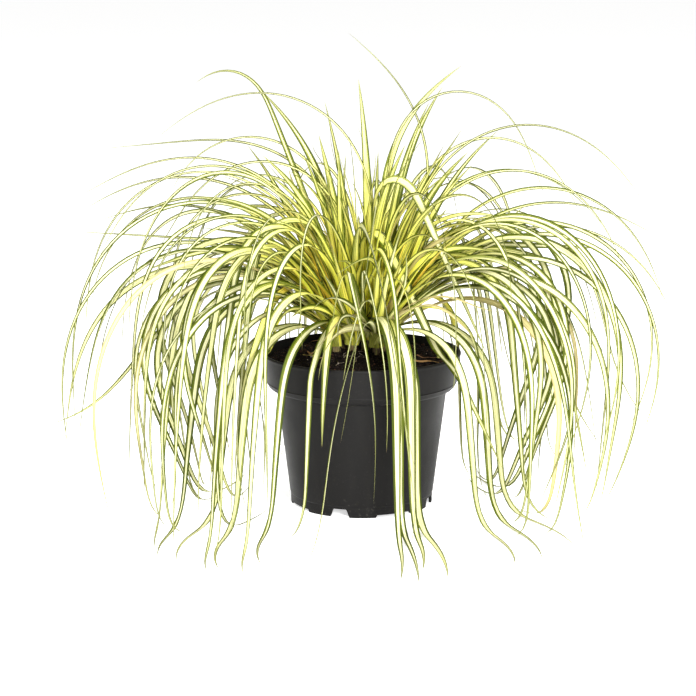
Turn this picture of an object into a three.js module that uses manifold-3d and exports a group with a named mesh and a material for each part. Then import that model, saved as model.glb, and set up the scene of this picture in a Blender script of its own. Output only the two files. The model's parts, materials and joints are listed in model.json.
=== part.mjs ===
// A carex sedge in its nursery pot, at real size, in millimetres with +Z up.
//
// The origin is on the pot's axis, on the surface that the pot stands on. The sedge grows from the
// mounded soil as thirteen tufts on a sunflower spiral. Each tuft is one solid: a short base of
// wrapped leaf sheaths, sunk into a plain hole in the soil, with its arching blades fused to it.
// A blade is turned, tilted or shortened until it is clear of the other tufts, the pot and the soil,
// and one that reaches the ground comes to lie along it.

import * as THREE from 'three';
import { mergeVertices } from 'three/addons/utils/BufferGeometryUtils.js';
import Module from 'manifold-3d';

const wasm = await Module();
wasm.setup();

// --- Driving dimensions ------------------------------------------------------------------------

const POT_HEIGHT = 147;
const RIM_RADIUS = 95;
const FOOT_RADIUS = 68;
const WALL = 2;
const GAP = 0.3;                 // between pieces that rest in or on each other

// The pot's rim band and foot
const BAND_TOP_IN = 0.6;         // rounding of the rim's outer edge
const BAND_LOW_Z = 119;
const BAND_LOW_RADIUS = 91;
const LEDGE_Z = 112;             // the wall starts here, under the rounded lower edge of the band
const LEDGE_RADIUS = 81.5;
const SEAM_Z = 11;
const SEAM_STEP = 0.8;
const FLOOR_TOP_Z = 11;
const FLOOR_UNDER_Z = 9;
const FOOT_WALL = 2.4;
const NOTCHES = 4;               // deep and shallow notches alternate round the foot
const DEEP_NOTCH = { turn: 252, height: 8, top: 12, foot: 20 };
const SHALLOW_NOTCH = { turn: 297, height: 2.5, top: 34, foot: 38 };
const DRAIN_HOLES = 8;
const DRAIN_RADIUS = 5;
const DRAIN_CIRCLE = 44;
const POT_SIDES = 40;

// The soil
const SOIL_RADIUS = 92;
const SOIL_EDGE_Z = 138;
const SOIL_TOP_Z = 151;
const SOIL_SIDES = POT_SIDES;   // facet by facet with the pot, so that the gap between them is even
const SOIL_RINGS = 7;
const SOIL_DENT = 1.6;
const SMOOTH_SOIL_RADIUS = 46;   // the crown stands on smooth soil, with the dents round it

// The tufts
const TUFTS = 13;
const CROWN_RADIUS = 31;
const CROWN_X = 2;
const GOLDEN_ANGLE = Math.PI * (3 - Math.sqrt(5));
const BASE_RADIUS = 6;
const BASE_TOP_RADIUS = 4.6;
const BASE_SIDES = 8;
const BASE_TALL_INSIDE = 20;     // the bases in the middle of the crown are taller
const BASE_TALL_OUTSIDE = 11;
const BASE_SINK = 12;
const BASE_SPREAD = 3.6;         // the blades leave their base within this radius
const BLADES_PER_TUFT = 14;

// The blades
const STEPS = 48;                // steps of a blade's growth
const SEGMENTS = 8;              // lengths of its solid
const KEEL_DEPTH = 1.2;
const TIP_DEPTH = 0.8;
const SIMPLER = 0.1;             // faces this flat together are merged where blades are fused
const START_PITCH = 86;          // degrees above the horizontal, as a blade leaves the soil
const START_SUNK = 6;            // a blade starts this far below the top of its base
const START_STRAIGHT = 8;
const TIGHTEST_BEND = 13;
const FREE_AFTER = 24;           // past this length a blade keeps clear of the pot and the ground
const CLEAR = 2.2;
const PUSHED_OUT = 0.05;         // beyond that, once the pot's side has pushed it out
const RIM_BEND = 14;             // radius of the curve by which a blade settles over the rim
const GROUND_BEND = 38;          // and on the ground

// What a blade may reach
const REACH = { left: -306, right: 303, front: -292, back: 286 };

// The room that the planting is tested in, as cubes of one size
const CELL = 1.6;
const ROOM_LOW = [-370, -370, -4.1];
const ROOM_CELLS = [463, 463, 300];
const TEST_SWELL = 0.2;
const TAKE_SWELL = 0.8;
const SHARED_LENGTH = 45;        // up to here the blades of one tuft may run into each other
const ALONG_SAMPLE = 1.37;
const ACROSS_SAMPLE = 1.5;

// The long blades that give the plant its outline, chosen one by one. Angles are in degrees: the
// heading from +X round +Z, the lift above the horizontal, the pitch at the tip, the drift of the
// heading and the flick of the tip. The bend runs from one share of the length to another.
const LEADING_BLADES = [
  // tuft, heading, lift, tip pitch, bend from, bend to, drift, flick, length, width
  [6, 184, 69, -50, 0.70, 1.04, 0, 0, 325, 8],
  [8, 2, 74, 140, 0.25, 1.00, 0, 0, 322, 3.5],
  [0, 6, 86, 34, 0.38, 1.05, 0, 0, 280, 10],
  [0, 358, 84, -70, 0.26, 0.98, 0, 0, 430, 3],
  [5, 5, 78, -58, 0.16, 1.03, 0, 0, 414, 3],
  [8, 354, 64, -78, 0.10, 1.05, 0, 0, 398, 4],
  [8, 352, 44, -78, 0.16, 1.12, 0, 0, 362, 4],
  [3, 178, 92, -42, 0.16, 1.00, 0, 0, 405, 3],
  [6, 172, 84, -6, 0.12, 0.80, 0, 0, 370, 3.5],
  [6, 186, 84, -82, 0.20, 1.05, 0, 0, 345, 3.5],
  [1, 186, 64, -92, 0.00, 0.92, 6, 0, 500, 5],
  [6, 178, 66, -36, 0.05, 1.00, 0, 0, 372, 4],
  [4, 178, 57, 3, 0.05, 0.60, 0, 0, 300, 4],
  [9, 176, 62, -84, 0.10, 1.05, 0, 0, 378, 4],
  [9, 186, 50, -50, 0.02, 0.62, 0, 35, 390, 7],
  [3, 172, 74, -60, 0.15, 1.00, 0, 0, 380, 3.5],
  [1, 168, 70, -30, 0.10, 1.00, 0, 0, 380, 3.5],
  [4, 188, 72, -66, 0.15, 1.00, 0, 0, 380, 3.5],
  [9, 172, 58, -20, 0.10, 1.00, 0, 0, 320, 4],
  [8, 12, 78, -62, 0.20, 1.05, 0, 0, 400, 3.5],
  [3, 20, 70, -50, 0.10, 1.00, 0, 0, 360, 3.5],
  [5, 350, 72, -70, 0.15, 1.00, 0, 0, 380, 3.5],
  [8, 8, 56, -30, 0.10, 1.00, 0, 0, 330, 4],
  // broad upright leaves in the crown
  [1, 150, 80, 58, 0.30, 1.10, 0, 0, 210, 9],
  [2, 300, 84, 62, 0.30, 1.10, 0, 0, 170, 9],
  [5, 340, 74, 40, 0.30, 1.10, 0, 0, 200, 9],
  [4, 200, 76, 30, 0.30, 1.10, 0, 0, 200, 9],
  [3, 40, 76, 50, 0.30, 1.10, 0, 0, 240, 9],
  [6, 120, 80, 60, 0.30, 1.10, 0, 0, 230, 8],
  [7, 250, 78, 50, 0.30, 1.10, 0, 0, 150, 9],
  [10, 320, 72, 40, 0.30, 1.10, 0, 0, 170, 9],
  [8, 20, 70, 36, 0.30, 1.10, 0, 0, 230, 8],
  [9, 150, 70, 40, 0.30, 1.10, 0, 0, 220, 8],
  // the bundle that drapes over the front of the rim
  [10, 296, 16, -86, 0.00, 0.30, -30, 0, 390, 10],
  [10, 284, 22, -86, 0.00, 0.32, -16, 0, 400, 9],
  [2, 300, 24, -86, 0.00, 0.34, -32, 0, 410, 10],
  [2, 290, 32, -84, 0.00, 0.38, -20, 0, 420, 9],
  // over the rim at the left and the right of the front
  [7, 240, 32, -84, 0.00, 0.40, 16, 0, 290, 6],
  [7, 226, 24, -80, 0.00, 0.40, 60, 0, 380, 8],
  [12, 222, 26, -80, 0.00, 0.42, 66, 0, 400, 9],
  [12, 208, 26, -80, 0.00, 0.42, 74, 0, 400, 8],
  [10, 324, 24, -82, 0.00, 0.40, -64, 0, 390, 8],
  [5, 330, 24, -84, 0.00, 0.42, -66, 0, 400, 9],
  [5, 344, 22, -84, 0.00, 0.42, -74, 0, 400, 8],
  // the long pale one from the crown's middle down to the right
  [2, 334, 86, -64, 0.27, 0.42, 0, 0, 380, 10],
  // the left curtain
  [4, 214, 62, -76, 0.10, 0.56, 62, 0, 470, 8],
  [12, 226, 54, -78, 0.04, 0.50, 56, 0, 460, 9],
  [7, 232, 50, -78, 0.04, 0.48, 48, 0, 440, 8],
  [12, 216, 58, -78, 0.06, 0.54, 62, 0, 490, 8],
  [4, 222, 66, -80, 0.06, 0.56, 54, 0, 480, 6],
  [9, 206, 56, -80, 0.05, 0.56, 78, 0, 490, 8],
  [9, 198, 62, -84, 0.06, 0.64, 80, 0, 510, 5],
  [12, 204, 46, -80, 0.03, 0.48, 76, 0, 460, 9],
  [4, 198, 52, -86, 0.05, 0.60, 84, 0, 490, 6],
  [9, 184, 54, -100, 0.05, 0.90, 40, 0, 490, 5],
  [7, 214, 40, -96, 0.00, 0.80, 35, 0, 440, 7],
  // the right curtain, which curves back in
  [5, 328, 58, -110, 0.05, 0.98, -14, 0, 490, 7],
  [8, 340, 48, -114, 0.00, 0.95, -22, 0, 480, 7],
  [5, 316, 54, -106, 0.00, 0.92, -12, 0, 460, 7],
  [8, 330, 44, -108, 0.00, 0.92, -24, 0, 470, 8],
  [10, 322, 44, -104, 0.00, 0.86, -20, 0, 450, 8],
  [8, 336, 54, -102, 0.04, 0.84, -40, 0, 500, 9],
  [5, 324, 50, -100, 0.04, 0.80, -28, 0, 480, 8],
  [8, 330, 38, -98, 0.03, 0.76, -36, 0, 450, 8],
  [10, 318, 50, -92, 0.00, 0.66, -22, 0, 450, 8],
  [2, 320, 58, -88, 0.05, 0.60, -20, 0, 460, 8],
  [5, 340, 62, -96, 0.05, 0.80, -40, 0, 500, 6],
  [8, 334, 50, -118, 0.00, 1.00, -8, 0, 480, 6],
  [5, 322, 46, -116, 0.00, 1.00, -8, 0, 470, 6],
  [10, 324, 54, -112, 0.00, 0.98, -14, 0, 480, 5],
  [8, 346, 56, -116, 0.00, 1.00, -16, 0, 490, 5],
  [5, 336, 40, -112, 0.00, 0.96, -18, 0, 450, 7],
  // more of the left curtain
  [12, 210, 50, -104, 0.00, 0.94, 24, 0, 480, 6],
  [4, 206, 44, -100, 0.00, 0.90, 30, 0, 460, 6],
  [7, 228, 56, -84, 0.04, 0.60, 40, 0, 470, 6],
  [12, 232, 46, -92, 0.00, 0.70, 24, 0, 440, 6],
  // the back
  [3, 78, 62, -70, 0.08, 0.95, 12, 0, 412, 7],
  [11, 110, 46, -80, 0.02, 0.80, -20, 0, 430, 7],
  [11, 80, 60, -70, 0.10, 0.90, 10, 0, 420, 6],
];
const LEADING_TWIST = 75;        // turns the upper face of a leading blade to the front
const LEADING_OFFSET = 3;
const LEADING_TRIES = { count: 30, turn: 10, tilt: 8 };
const OTHER_TRIES = { count: 40, turn: 80, tilt: 22 };
const STRICT_SHARE = 0.9;        // the first tries keep clear of the tuft's own blades too
const YOUNG_SHARE = 0.2;
const SEED = 1010;

// Dead leaves that lie on the soil: where each starts, its heading, length, width and colour
const DRY_LEAVES = [
  { name: 'dry_leaf_right', x: 40, y: -44, heading: 12, length: 34, width: 5, colour: 0x8a5a30 },
  { name: 'leaf_stub_right', x: 72, y: -22, heading: 80, length: 16, width: 6, colour: 0xb7b06a },
  { name: 'dry_leaf_back', x: -12, y: 56, heading: 188, length: 38, width: 4, colour: 0x94683c },
];
const DRY_LEAF_SEGMENTS = 4;

// --- Small helpers -----------------------------------------------------------------------------

const radians = THREE.MathUtils.degToRad;
const clamp = THREE.MathUtils.clamp;

function mix(from, to, share) {
  return from + (to - from) * share;
}

function ramp(value, from, to) {
  const x = clamp((value - from) / (to - from), 0, 1);
  return x * x * (3 - 2 * x);
}

// A seeded draw between two numbers, by the Park-Miller rule
function makeDraw(seed) {
  let state = seed;
  return (low = 0, high = 1) => {
    state = (state * 16807) % 2147483647;
    return low + (high - low) * (state - 1) / 2147483646;
  };
}

function toSolid(geometry) {
  const bare = geometry.index ? geometry.clone() : geometry;
  bare.deleteAttribute('normal');
  bare.deleteAttribute('uv');
  const merged = mergeVertices(bare, 1e-4);
  return new wasm.Manifold(new wasm.Mesh({
    numProp: 3,
    vertProperties: new Float32Array(merged.attributes.position.array),
    triVerts: new Uint32Array(merged.index.array),
  }));
}

function toGeometry(solid) {
  const mesh = solid.getMesh();
  const geometry = new THREE.BufferGeometry();
  geometry.setAttribute('position', new THREE.BufferAttribute(mesh.vertProperties, 3));
  geometry.setIndex(new THREE.BufferAttribute(mesh.triVerts, 1));
  geometry.computeVertexNormals();
  return geometry;
}

// A solid turned about Z from a profile of [radius, height] points, anticlockwise from below
function turned(profile, sides) {
  const points = profile.map(([radius, height]) => new THREE.Vector2(radius, height));
  const geometry = new THREE.LatheGeometry(points, sides);
  geometry.rotateX(Math.PI / 2);
  return toSolid(geometry);
}

function addMesh(group, name, solid, colour, roughness) {
  const material = new THREE.MeshStandardMaterial({ color: colour, roughness, metalness: 0 });
  const mesh = new THREE.Mesh(toGeometry(solid), material);
  mesh.name = name;
  group.add(mesh);
}

// --- The pot -----------------------------------------------------------------------------------

function wallRadius(z) {
  return mix(FOOT_RADIUS + SEAM_STEP, LEDGE_RADIUS, (z - SEAM_Z) / (LEDGE_Z - SEAM_Z));
}

function potProfile() {
  const outside = [
    [0, FLOOR_UNDER_Z],
    [FOOT_RADIUS - FOOT_WALL, FLOOR_UNDER_Z],
    [FOOT_RADIUS - FOOT_WALL, 0],
    [FOOT_RADIUS, 0],
    [FOOT_RADIUS + 0.2, SEAM_Z - 1],
    [wallRadius(SEAM_Z), SEAM_Z],
    [LEDGE_RADIUS, LEDGE_Z],
    [BAND_LOW_RADIUS - 2.5, LEDGE_Z + 1.5],
    [BAND_LOW_RADIUS, BAND_LOW_Z],
    [RIM_RADIUS - BAND_TOP_IN, POT_HEIGHT - 3],
    [RIM_RADIUS, POT_HEIGHT - 1.5],
    [RIM_RADIUS - BAND_TOP_IN, POT_HEIGHT],
  ];
  const inside = [
    [RIM_RADIUS - BAND_TOP_IN - WALL, POT_HEIGHT],
    [BAND_LOW_RADIUS - WALL, BAND_LOW_Z],
    [LEDGE_RADIUS - WALL, LEDGE_Z + 2],
    [wallRadius(SEAM_Z) - WALL, FLOOR_TOP_Z],
    [0, FLOOR_TOP_Z],
  ];
  return { outside, inside };
}

// A wedge-shaped cutter through the foot, as wide as asked at the ground and at its top
function notchCutter({ turn, height, top, foot }) {
  const shape = new THREE.Shape();
  shape.moveTo(-foot / 2, -1);
  shape.lineTo(foot / 2, -1);
  shape.lineTo(top / 2, height);
  shape.lineTo(-top / 2, height);
  const geometry = new THREE.ExtrudeGeometry(shape, { depth: 20, bevelEnabled: false });
  geometry.rotateX(Math.PI / 2);
  geometry.rotateZ(Math.PI / 2);
  geometry.translate(FOOT_RADIUS - 12, 0, 0);
  geometry.rotateZ(radians(turn));
  return toSolid(geometry);
}

function drainCutter(index) {
  const geometry = new THREE.CylinderGeometry(DRAIN_RADIUS, DRAIN_RADIUS, 8, 10);
  geometry.rotateX(Math.PI / 2);
  geometry.translate(DRAIN_CIRCLE, 0, FLOOR_UNDER_Z + 1);
  geometry.rotateZ(2 * Math.PI * index / DRAIN_HOLES);
  return toSolid(geometry);
}

function makePot() {
  const { outside, inside } = potProfile();
  let pot = turned([...outside, ...inside], POT_SIDES);
  for (let i = 0; i < NOTCHES; i += 1) {
    const quarter = 360 / NOTCHES * i;
    pot = pot.subtract(notchCutter({ ...DEEP_NOTCH, turn: DEEP_NOTCH.turn + quarter }));
    pot = pot.subtract(notchCutter({ ...SHALLOW_NOTCH, turn: SHALLOW_NOTCH.turn + quarter }));
  }
  for (let i = 0; i < DRAIN_HOLES; i += 1) {
    pot = pot.subtract(drainCutter(i));
  }
  return pot;
}

// --- The soil ----------------------------------------------------------------------------------

// The mound that everything stands on, before its dents
function soilHeight(x, y) {
  const share = Math.hypot(x, y) / SOIL_RADIUS;
  return SOIL_EDGE_Z + (SOIL_TOP_Z - SOIL_EDGE_Z) * Math.max(0, 1 - share * share);
}

function soilTop(x, y) {
  const radius = Math.hypot(x, y);
  const wave = Math.sin(x * 0.31 + 1.3) * Math.cos(y * 0.27 - 0.6) + Math.sin((x - y) * 0.17 + 2);
  const dent = SOIL_DENT * (0.5 + 0.25 * wave) * ramp(radius, SMOOTH_SOIL_RADIUS, SMOOTH_SOIL_RADIUS + 12);
  return soilHeight(x, y) - dent;
}

// The pot's inner wall, from its floor up to the soil's edge, drawn in by the gap
function soilSideProfile() {
  const { inside } = potProfile();
  const corners = inside.slice(1, -1).reverse();
  const [topRadius] = inside[0];
  const share = (SOIL_EDGE_Z - BAND_LOW_Z) / (POT_HEIGHT - BAND_LOW_Z);
  const edgeRadius = mix(BAND_LOW_RADIUS - WALL, topRadius, share);
  const side = corners.map(([radius, z], index) => [radius - GAP, index === 0 ? z + GAP : z]);
  return [...side, [edgeRadius - GAP, SOIL_EDGE_Z]];
}

function makeSoil() {
  const side = soilSideProfile();
  const edgeRadius = side.at(-1)[0];
  const rings = [];
  for (let k = 1; k < SOIL_RINGS; k += 1) {
    const radius = edgeRadius * (1 - k / SOIL_RINGS);
    rings.push([radius, soilHeight(radius, 0)]);
  }
  const profile = [[0, FLOOR_TOP_Z + GAP], ...side, ...rings, [0, SOIL_TOP_Z]];
  const points = profile.map(([radius, z]) => new THREE.Vector2(radius, z));
  const geometry = new THREE.LatheGeometry(points, SOIL_SIDES);
  geometry.rotateX(Math.PI / 2);
  const place = geometry.attributes.position;
  for (let i = 0; i < place.count; i += 1) {
    if (place.getZ(i) > SOIL_EDGE_Z - 0.01) {
      place.setZ(i, Math.max(soilTop(place.getX(i), place.getY(i)), SOIL_EDGE_Z - 1));
    }
  }
  let soil = toSolid(geometry);
  for (let i = 0; i < TUFTS; i += 1) {
    soil = soil.subtract(tuftHole(i));
  }
  return soil;
}

// --- Tuft bases --------------------------------------------------------------------------------

// Where a tuft stands: its share of the crown's radius is 0 in the middle and 1 at the outside
function tuftPlace(index) {
  const share = Math.sqrt((index + 0.5) / TUFTS);
  const angle = index * GOLDEN_ANGLE;
  const x = CROWN_X + CROWN_RADIUS * share * Math.cos(angle);
  const y = CROWN_RADIUS * share * Math.sin(angle);
  return { x, y, z: soilHeight(x, y), share, angle };
}

function baseTall(index) {
  return mix(BASE_TALL_INSIDE, BASE_TALL_OUTSIDE, tuftPlace(index).share);
}

function tuftHole(index) {
  const { x, y, z } = tuftPlace(index);
  const radius = BASE_RADIUS + 1.2 * GAP;
  const low = -BASE_SINK - GAP;
  return turned([[0, low], [radius, low], [radius, 10], [0, 10]], BASE_SIDES).translate(x, y, z);
}

function tuftBase(index) {
  const { x, y, z } = tuftPlace(index);
  const tall = baseTall(index);
  const profile = [
    [0, -BASE_SINK],
    [BASE_RADIUS * 0.7, -BASE_SINK],
    [BASE_RADIUS, -BASE_SINK * 0.4],
    [BASE_RADIUS, 1],
    [BASE_TOP_RADIUS, tall],
    [0, tall + 1],
  ];
  return turned(profile, BASE_SIDES).translate(x, y, z);
}

// --- Growth of a blade -------------------------------------------------------------------------

// The pitch that a blade wants at a share of its length, before anything is in its way
function wantedPitch(blade, share) {
  const bend = ramp(share, blade.bendFrom, blade.bendTo);
  return mix(radians(blade.lift), radians(blade.tipPitch), bend)
    + radians(blade.flick) * ramp(share, 0.72, 1);
}

// A blade that comes down levels out over the rim or the ground, outwards or, past plumb, inwards
function levelled(want, pitch, tipPitch, height, bendRadius, isInside) {
  if (height >= 2 * bendRadius) {
    return want;
  }
  const level = Math.acos(clamp(1 - height / bendRadius, -1, 1));
  if (isInside || tipPitch > -90 || pitch > -Math.PI / 2) {
    return Math.max(want, -level);
  }
  return Math.min(want, level - Math.PI);
}

// The centre line of a blade: points with their pitch, heading and share of the length
function growBlade(blade) {
  const foot = tuftPlace(blade.tuft);
  const step = blade.length / STEPS;
  const heading0 = radians(blade.heading);
  let x = foot.x + blade.offset * Math.cos(heading0);
  let y = foot.y + blade.offset * Math.sin(heading0);
  let z = foot.z + baseTall(blade.tuft) - START_SUNK;
  let pitch = radians(START_PITCH);
  const path = [];
  for (let k = 0; k <= STEPS; k += 1) {
    const share = k / STEPS;
    const heading = radians(blade.heading + blade.drift * share * share);
    path.push({ x, y, z, pitch, heading, share });
    const grown = share * blade.length;
    const radius = Math.hypot(x, y);
    const isFree = grown > FREE_AFTER;
    let want = grown < START_STRAIGHT ? radians(START_PITCH) : wantedPitch(blade, share);
    if (isFree) {
      const isInside = radius < RIM_RADIUS + CLEAR;
      const height = z - (isInside ? POT_HEIGHT : 0) - CLEAR;
      const bendRadius = isInside ? RIM_BEND : GROUND_BEND;
      want = levelled(want, pitch, blade.tipPitch, height, bendRadius, isInside);
    }
    const most = step / TIGHTEST_BEND;
    pitch += clamp(want - pitch, -most, most);
    x += step * Math.cos(pitch) * Math.cos(heading);
    y += step * Math.cos(pitch) * Math.sin(heading);
    z += step * Math.sin(pitch);
    if (isFree) {
      z = Math.max(z, CLEAR);
      const reached = Math.hypot(x, y);
      if (reached < RIM_RADIUS + CLEAR && z < POT_HEIGHT + CLEAR) {
        if (radius >= RIM_RADIUS + CLEAR - 0.5) {
          x *= (RIM_RADIUS + CLEAR + PUSHED_OUT) / reached;
          y *= (RIM_RADIUS + CLEAR + PUSHED_OUT) / reached;
        } else {
          z = POT_HEIGHT + CLEAR;
        }
      }
    }
  }
  return path;
}

// Points of the path that stand closer together where the blade turns
function pickStations(path) {
  const weight = [0];
  for (let k = 1; k < path.length; k += 1) {
    const [p, q] = [path[k - 1], path[k]];
    const length = Math.hypot(q.x - p.x, q.y - p.y, q.z - p.z);
    weight.push(weight[k - 1] + length / 60 + Math.abs(q.pitch - p.pitch) / radians(30));
  }
  const picked = [];
  let at = 0;
  for (let k = 0; k <= SEGMENTS; k += 1) {
    while (at < path.length - 1 && weight[at] < weight.at(-1) * k / SEGMENTS - 1e-9) {
      at += 1;
    }
    picked.push(path[at]);
  }
  return picked;
}

function bladeWidth(blade, share) {
  return blade.width * Math.min(1, 0.38 + 2.6 * share) * (1 - share * share);
}

// The roll about the centre line, which fades to nothing where the pot or the ground is near
function bladeRoll(blade, { x, y, z, share }) {
  const aside = Math.max(0, Math.hypot(x, y) - RIM_RADIUS);
  const toPot = Math.hypot(aside, Math.max(0, z - POT_HEIGHT));
  const loose = clamp((Math.min(toPot, z) - 3) / 10, 0, 1);
  return radians(blade.roll + blade.twist * ramp(share, 0.05, 0.65)) * loose;
}

// A blade's stations with the directions across it and out of its upper face
function bladeSpine(blade) {
  return pickStations(growBlade(blade)).map((point) => {
    const { pitch, heading } = point;
    const tangent = new THREE.Vector3(
      Math.cos(pitch) * Math.cos(heading), Math.cos(pitch) * Math.sin(heading), Math.sin(pitch));
    const across = new THREE.Vector3(-Math.sin(heading), Math.cos(heading), 0);
    const roll = bladeRoll(blade, point);
    return {
      centre: new THREE.Vector3(point.x, point.y, point.z),
      across: across.clone().applyAxisAngle(tangent, roll),
      upward: tangent.clone().cross(across).applyAxisAngle(tangent, roll),
      half: bladeWidth(blade, point.share) / 2,
      depth: mix(KEEL_DEPTH, TIP_DEPTH, point.share),
    };
  });
}

// --- Room for the blades -----------------------------------------------------------------------

const ROOM_POT = 255;

class Room {
  constructor() {
    const [countX, countY, countZ] = ROOM_CELLS;
    this.owners = new Uint8Array(countX * countY * countZ);
    for (let i = 0; i < countX; i += 1) {
      for (let j = 0; j < countY; j += 1) {
        this.fillColumn(i, j);
      }
    }
  }

  // The pot with its soil, and the tuft bases, in one column of cells
  fillColumn(i, j) {
    const x = ROOM_LOW[0] + (i + 0.5) * CELL;
    const y = ROOM_LOW[1] + (j + 0.5) * CELL;
    const radius = Math.hypot(x, y);
    if (radius >= RIM_RADIUS + 1) {
      return;
    }
    this.fillUpTo(i, j, Math.max(POT_HEIGHT, radius < SOIL_RADIUS ? soilHeight(x, y) : 0) + 1, ROOM_POT);
    for (let tuft = 0; tuft < TUFTS; tuft += 1) {
      const foot = tuftPlace(tuft);
      if (Math.hypot(x - foot.x, y - foot.y) < BASE_RADIUS + 0.8) {
        this.fillUpTo(i, j, foot.z + baseTall(tuft) + 0.8, tuft + 1, foot.z - 1);
      }
    }
  }

  fillUpTo(i, j, top, owner, bottom = ROOM_LOW[2]) {
    for (let k = 0; k < ROOM_CELLS[2]; k += 1) {
      const z = ROOM_LOW[2] + (k + 0.5) * CELL;
      if (z > bottom && z < top) {
        this.owners[(i * ROOM_CELLS[1] + j) * ROOM_CELLS[2] + k] = owner;
      }
    }
  }

  cellAt(point) {
    const i = Math.floor((point.x - ROOM_LOW[0]) / CELL);
    const j = Math.floor((point.y - ROOM_LOW[1]) / CELL);
    const k = Math.floor((point.z - ROOM_LOW[2]) / CELL);
    return (i * ROOM_CELLS[1] + j) * ROOM_CELLS[2] + k;
  }

  // Calls visit with each cell that a swollen blade fills from a length on, until it returns false
  sweep(spine, swell, from, visit) {
    const point = new THREE.Vector3();
    let passed = 0;
    for (let s = 0; s < spine.length - 1; s += 1) {
      const [a, b] = [spine[s], spine[s + 1]];
      const length = a.centre.distanceTo(b.centre);
      const along = Math.floor(length / ALONG_SAMPLE) + 1;
      const across = Math.ceil((Math.max(a.half, b.half) + swell) / ACROSS_SAMPLE);
      const halfDepth = KEEL_DEPTH / 2 + swell;
      const deep = Math.ceil(halfDepth / ACROSS_SAMPLE);
      for (let n = 0; n < along; n += 1) {
        const share = (n + 0.5) / along;
        if (passed + share * length < from) {
          continue;
        }
        const half = mix(a.half, b.half, share) + swell;
        for (let u = -across; u <= across; u += 1) {
          for (let v = -deep; v <= deep; v += 1) {
            point.lerpVectors(a.centre, b.centre, share);
            point.addScaledVector(a.across, (1 - share) * half * u / across);
            point.addScaledVector(b.across, share * half * u / across);
            point.addScaledVector(a.upward, (1 - share) * halfDepth * v / deep);
            point.addScaledVector(b.upward, share * halfDepth * v / deep);
            if (!visit(this.cellAt(point))) {
              return false;
            }
          }
        }
      }
      passed += length;
    }
    return true;
  }

  isFree(spine, tuft, isStrict) {
    const { owners } = this;
    const own = tuft + 1;
    const isOthers = (cell) => owners[cell] !== 0 && owners[cell] !== own;
    return this.sweep(spine, TEST_SWELL, START_SUNK, (cell) => !isOthers(cell))
      && (!isStrict || this.sweep(spine, TEST_SWELL, SHARED_LENGTH, (cell) => owners[cell] === 0));
  }

  take(spine, tuft) {
    this.sweep(spine, TAKE_SWELL, START_SUNK, (cell) => {
      if (this.owners[cell] === 0) {
        this.owners[cell] = tuft + 1;
      }
      return true;
    });
  }
}

function isWithinReach(spine) {
  return spine.every(({ centre }) => (
    centre.x > REACH.left && centre.x < REACH.right && centre.y > REACH.front && centre.y < REACH.back
  ));
}

// --- Planting ----------------------------------------------------------------------------------

function leadingBlade([tuft, heading, lift, tipPitch, bendFrom, bendTo, drift, flick, length, width]) {
  const twist = LEADING_TWIST * Math.cos(radians(heading));
  const offset = LEADING_OFFSET;
  return {
    tuft, heading, lift, tipPitch, bendFrom, bendTo, drift, flick, length, width, twist, offset, roll: 0,
  };
}

// One of a tuft's other blades: the first are steep, the last old and low
function otherBlade(tuft, order, draw) {
  const { share, angle } = tuftPlace(tuft);
  const age = (order + draw(0, 0.9)) / BLADES_PER_TUFT;
  const spread = mix(115, 55, share);
  const isYoung = draw() < YOUNG_SHARE;
  const heading = THREE.MathUtils.radToDeg(angle) + draw(-spread, spread);
  const toSide = Math.cos(radians(heading));
  const toBack = Math.sin(radians(heading));
  const blade = { tuft, heading, roll: draw(-25, 25), twist: draw(-100, 100) };
  blade.offset = BASE_SPREAD * Math.sqrt(draw());
  blade.lift = mix(72, mix(50, 28, share), age) + draw(-8, 8);
  blade.length = draw(360, 490);
  blade.tipPitch = draw(-98, -66);
  blade.bendFrom = draw(0, 0.12);
  blade.bendTo = blade.bendFrom + draw(0.5, 0.95);
  blade.width = draw(3, mix(5, 9.5, age));
  blade.flick = Math.max(0, draw(-90, 40));
  if (toBack < 0.25) {
    blade.drift = -toSide * draw(20, 90) + draw(-12, 12);
  } else {
    blade.drift = draw(-30, 30);
  }
  if (toBack < -0.8) {
    blade.lift = draw(20, 70);
    blade.length = draw(150, 240);
    blade.tipPitch = draw(-60, 30);
    blade.bendTo = 1.1;
    blade.width = draw(3.5, 8);
  }
  if (isYoung) {
    blade.lift = draw(64, 88);
    blade.length = draw(140, 240);
    blade.tipPitch = draw(0, 60);
    blade.bendFrom = 0.2;
    blade.bendTo = 1.1;
    blade.width = draw(3, 7);
  }
  return blade;
}

// Each try changes a blade more, until it has room
function placeBlade(room, wanted, { count, turn, tilt }, draw) {
  for (let n = 0; n < count; n += 1) {
    const blade = { ...wanted };
    const change = n / count;
    if (n > 0) {
      blade.heading += draw(-turn, turn) * change;
      blade.lift += draw(-tilt, tilt) * change;
      blade.bendFrom += draw(-0.05, 0.1) * change;
      blade.bendTo += draw(-0.15, 0.15) * change;
      blade.length *= draw(0.92, 1);
    }
    const spine = bladeSpine(blade);
    if (isWithinReach(spine) && room.isFree(spine, blade.tuft, change < STRICT_SHARE)) {
      room.take(spine, blade.tuft);
      return spine;
    }
  }
  return null;
}

// The spines of every tuft's blades: the leading ones first, then round by round for all tufts
function plantSedge() {
  const draw = makeDraw(SEED);
  const room = new Room();
  const tufts = Array.from({ length: TUFTS }, () => []);
  const plant = (blade, tries) => {
    const spine = placeBlade(room, blade, tries, draw);
    if (spine) {
      tufts[blade.tuft].push(spine);
    }
  };
  LEADING_BLADES.forEach((row) => plant(leadingBlade(row), LEADING_TRIES));
  for (let order = 0; order < BLADES_PER_TUFT; order += 1) {
    for (let n = 0; n < TUFTS; n += 1) {
      const tuft = order % 2 ? TUFTS - 1 - n : n;
      if (tufts[tuft].length < BLADES_PER_TUFT) {
        plant(otherBlade(tuft, order, draw), OTHER_TRIES);
      }
    }
  }
  return tufts;
}

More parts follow.
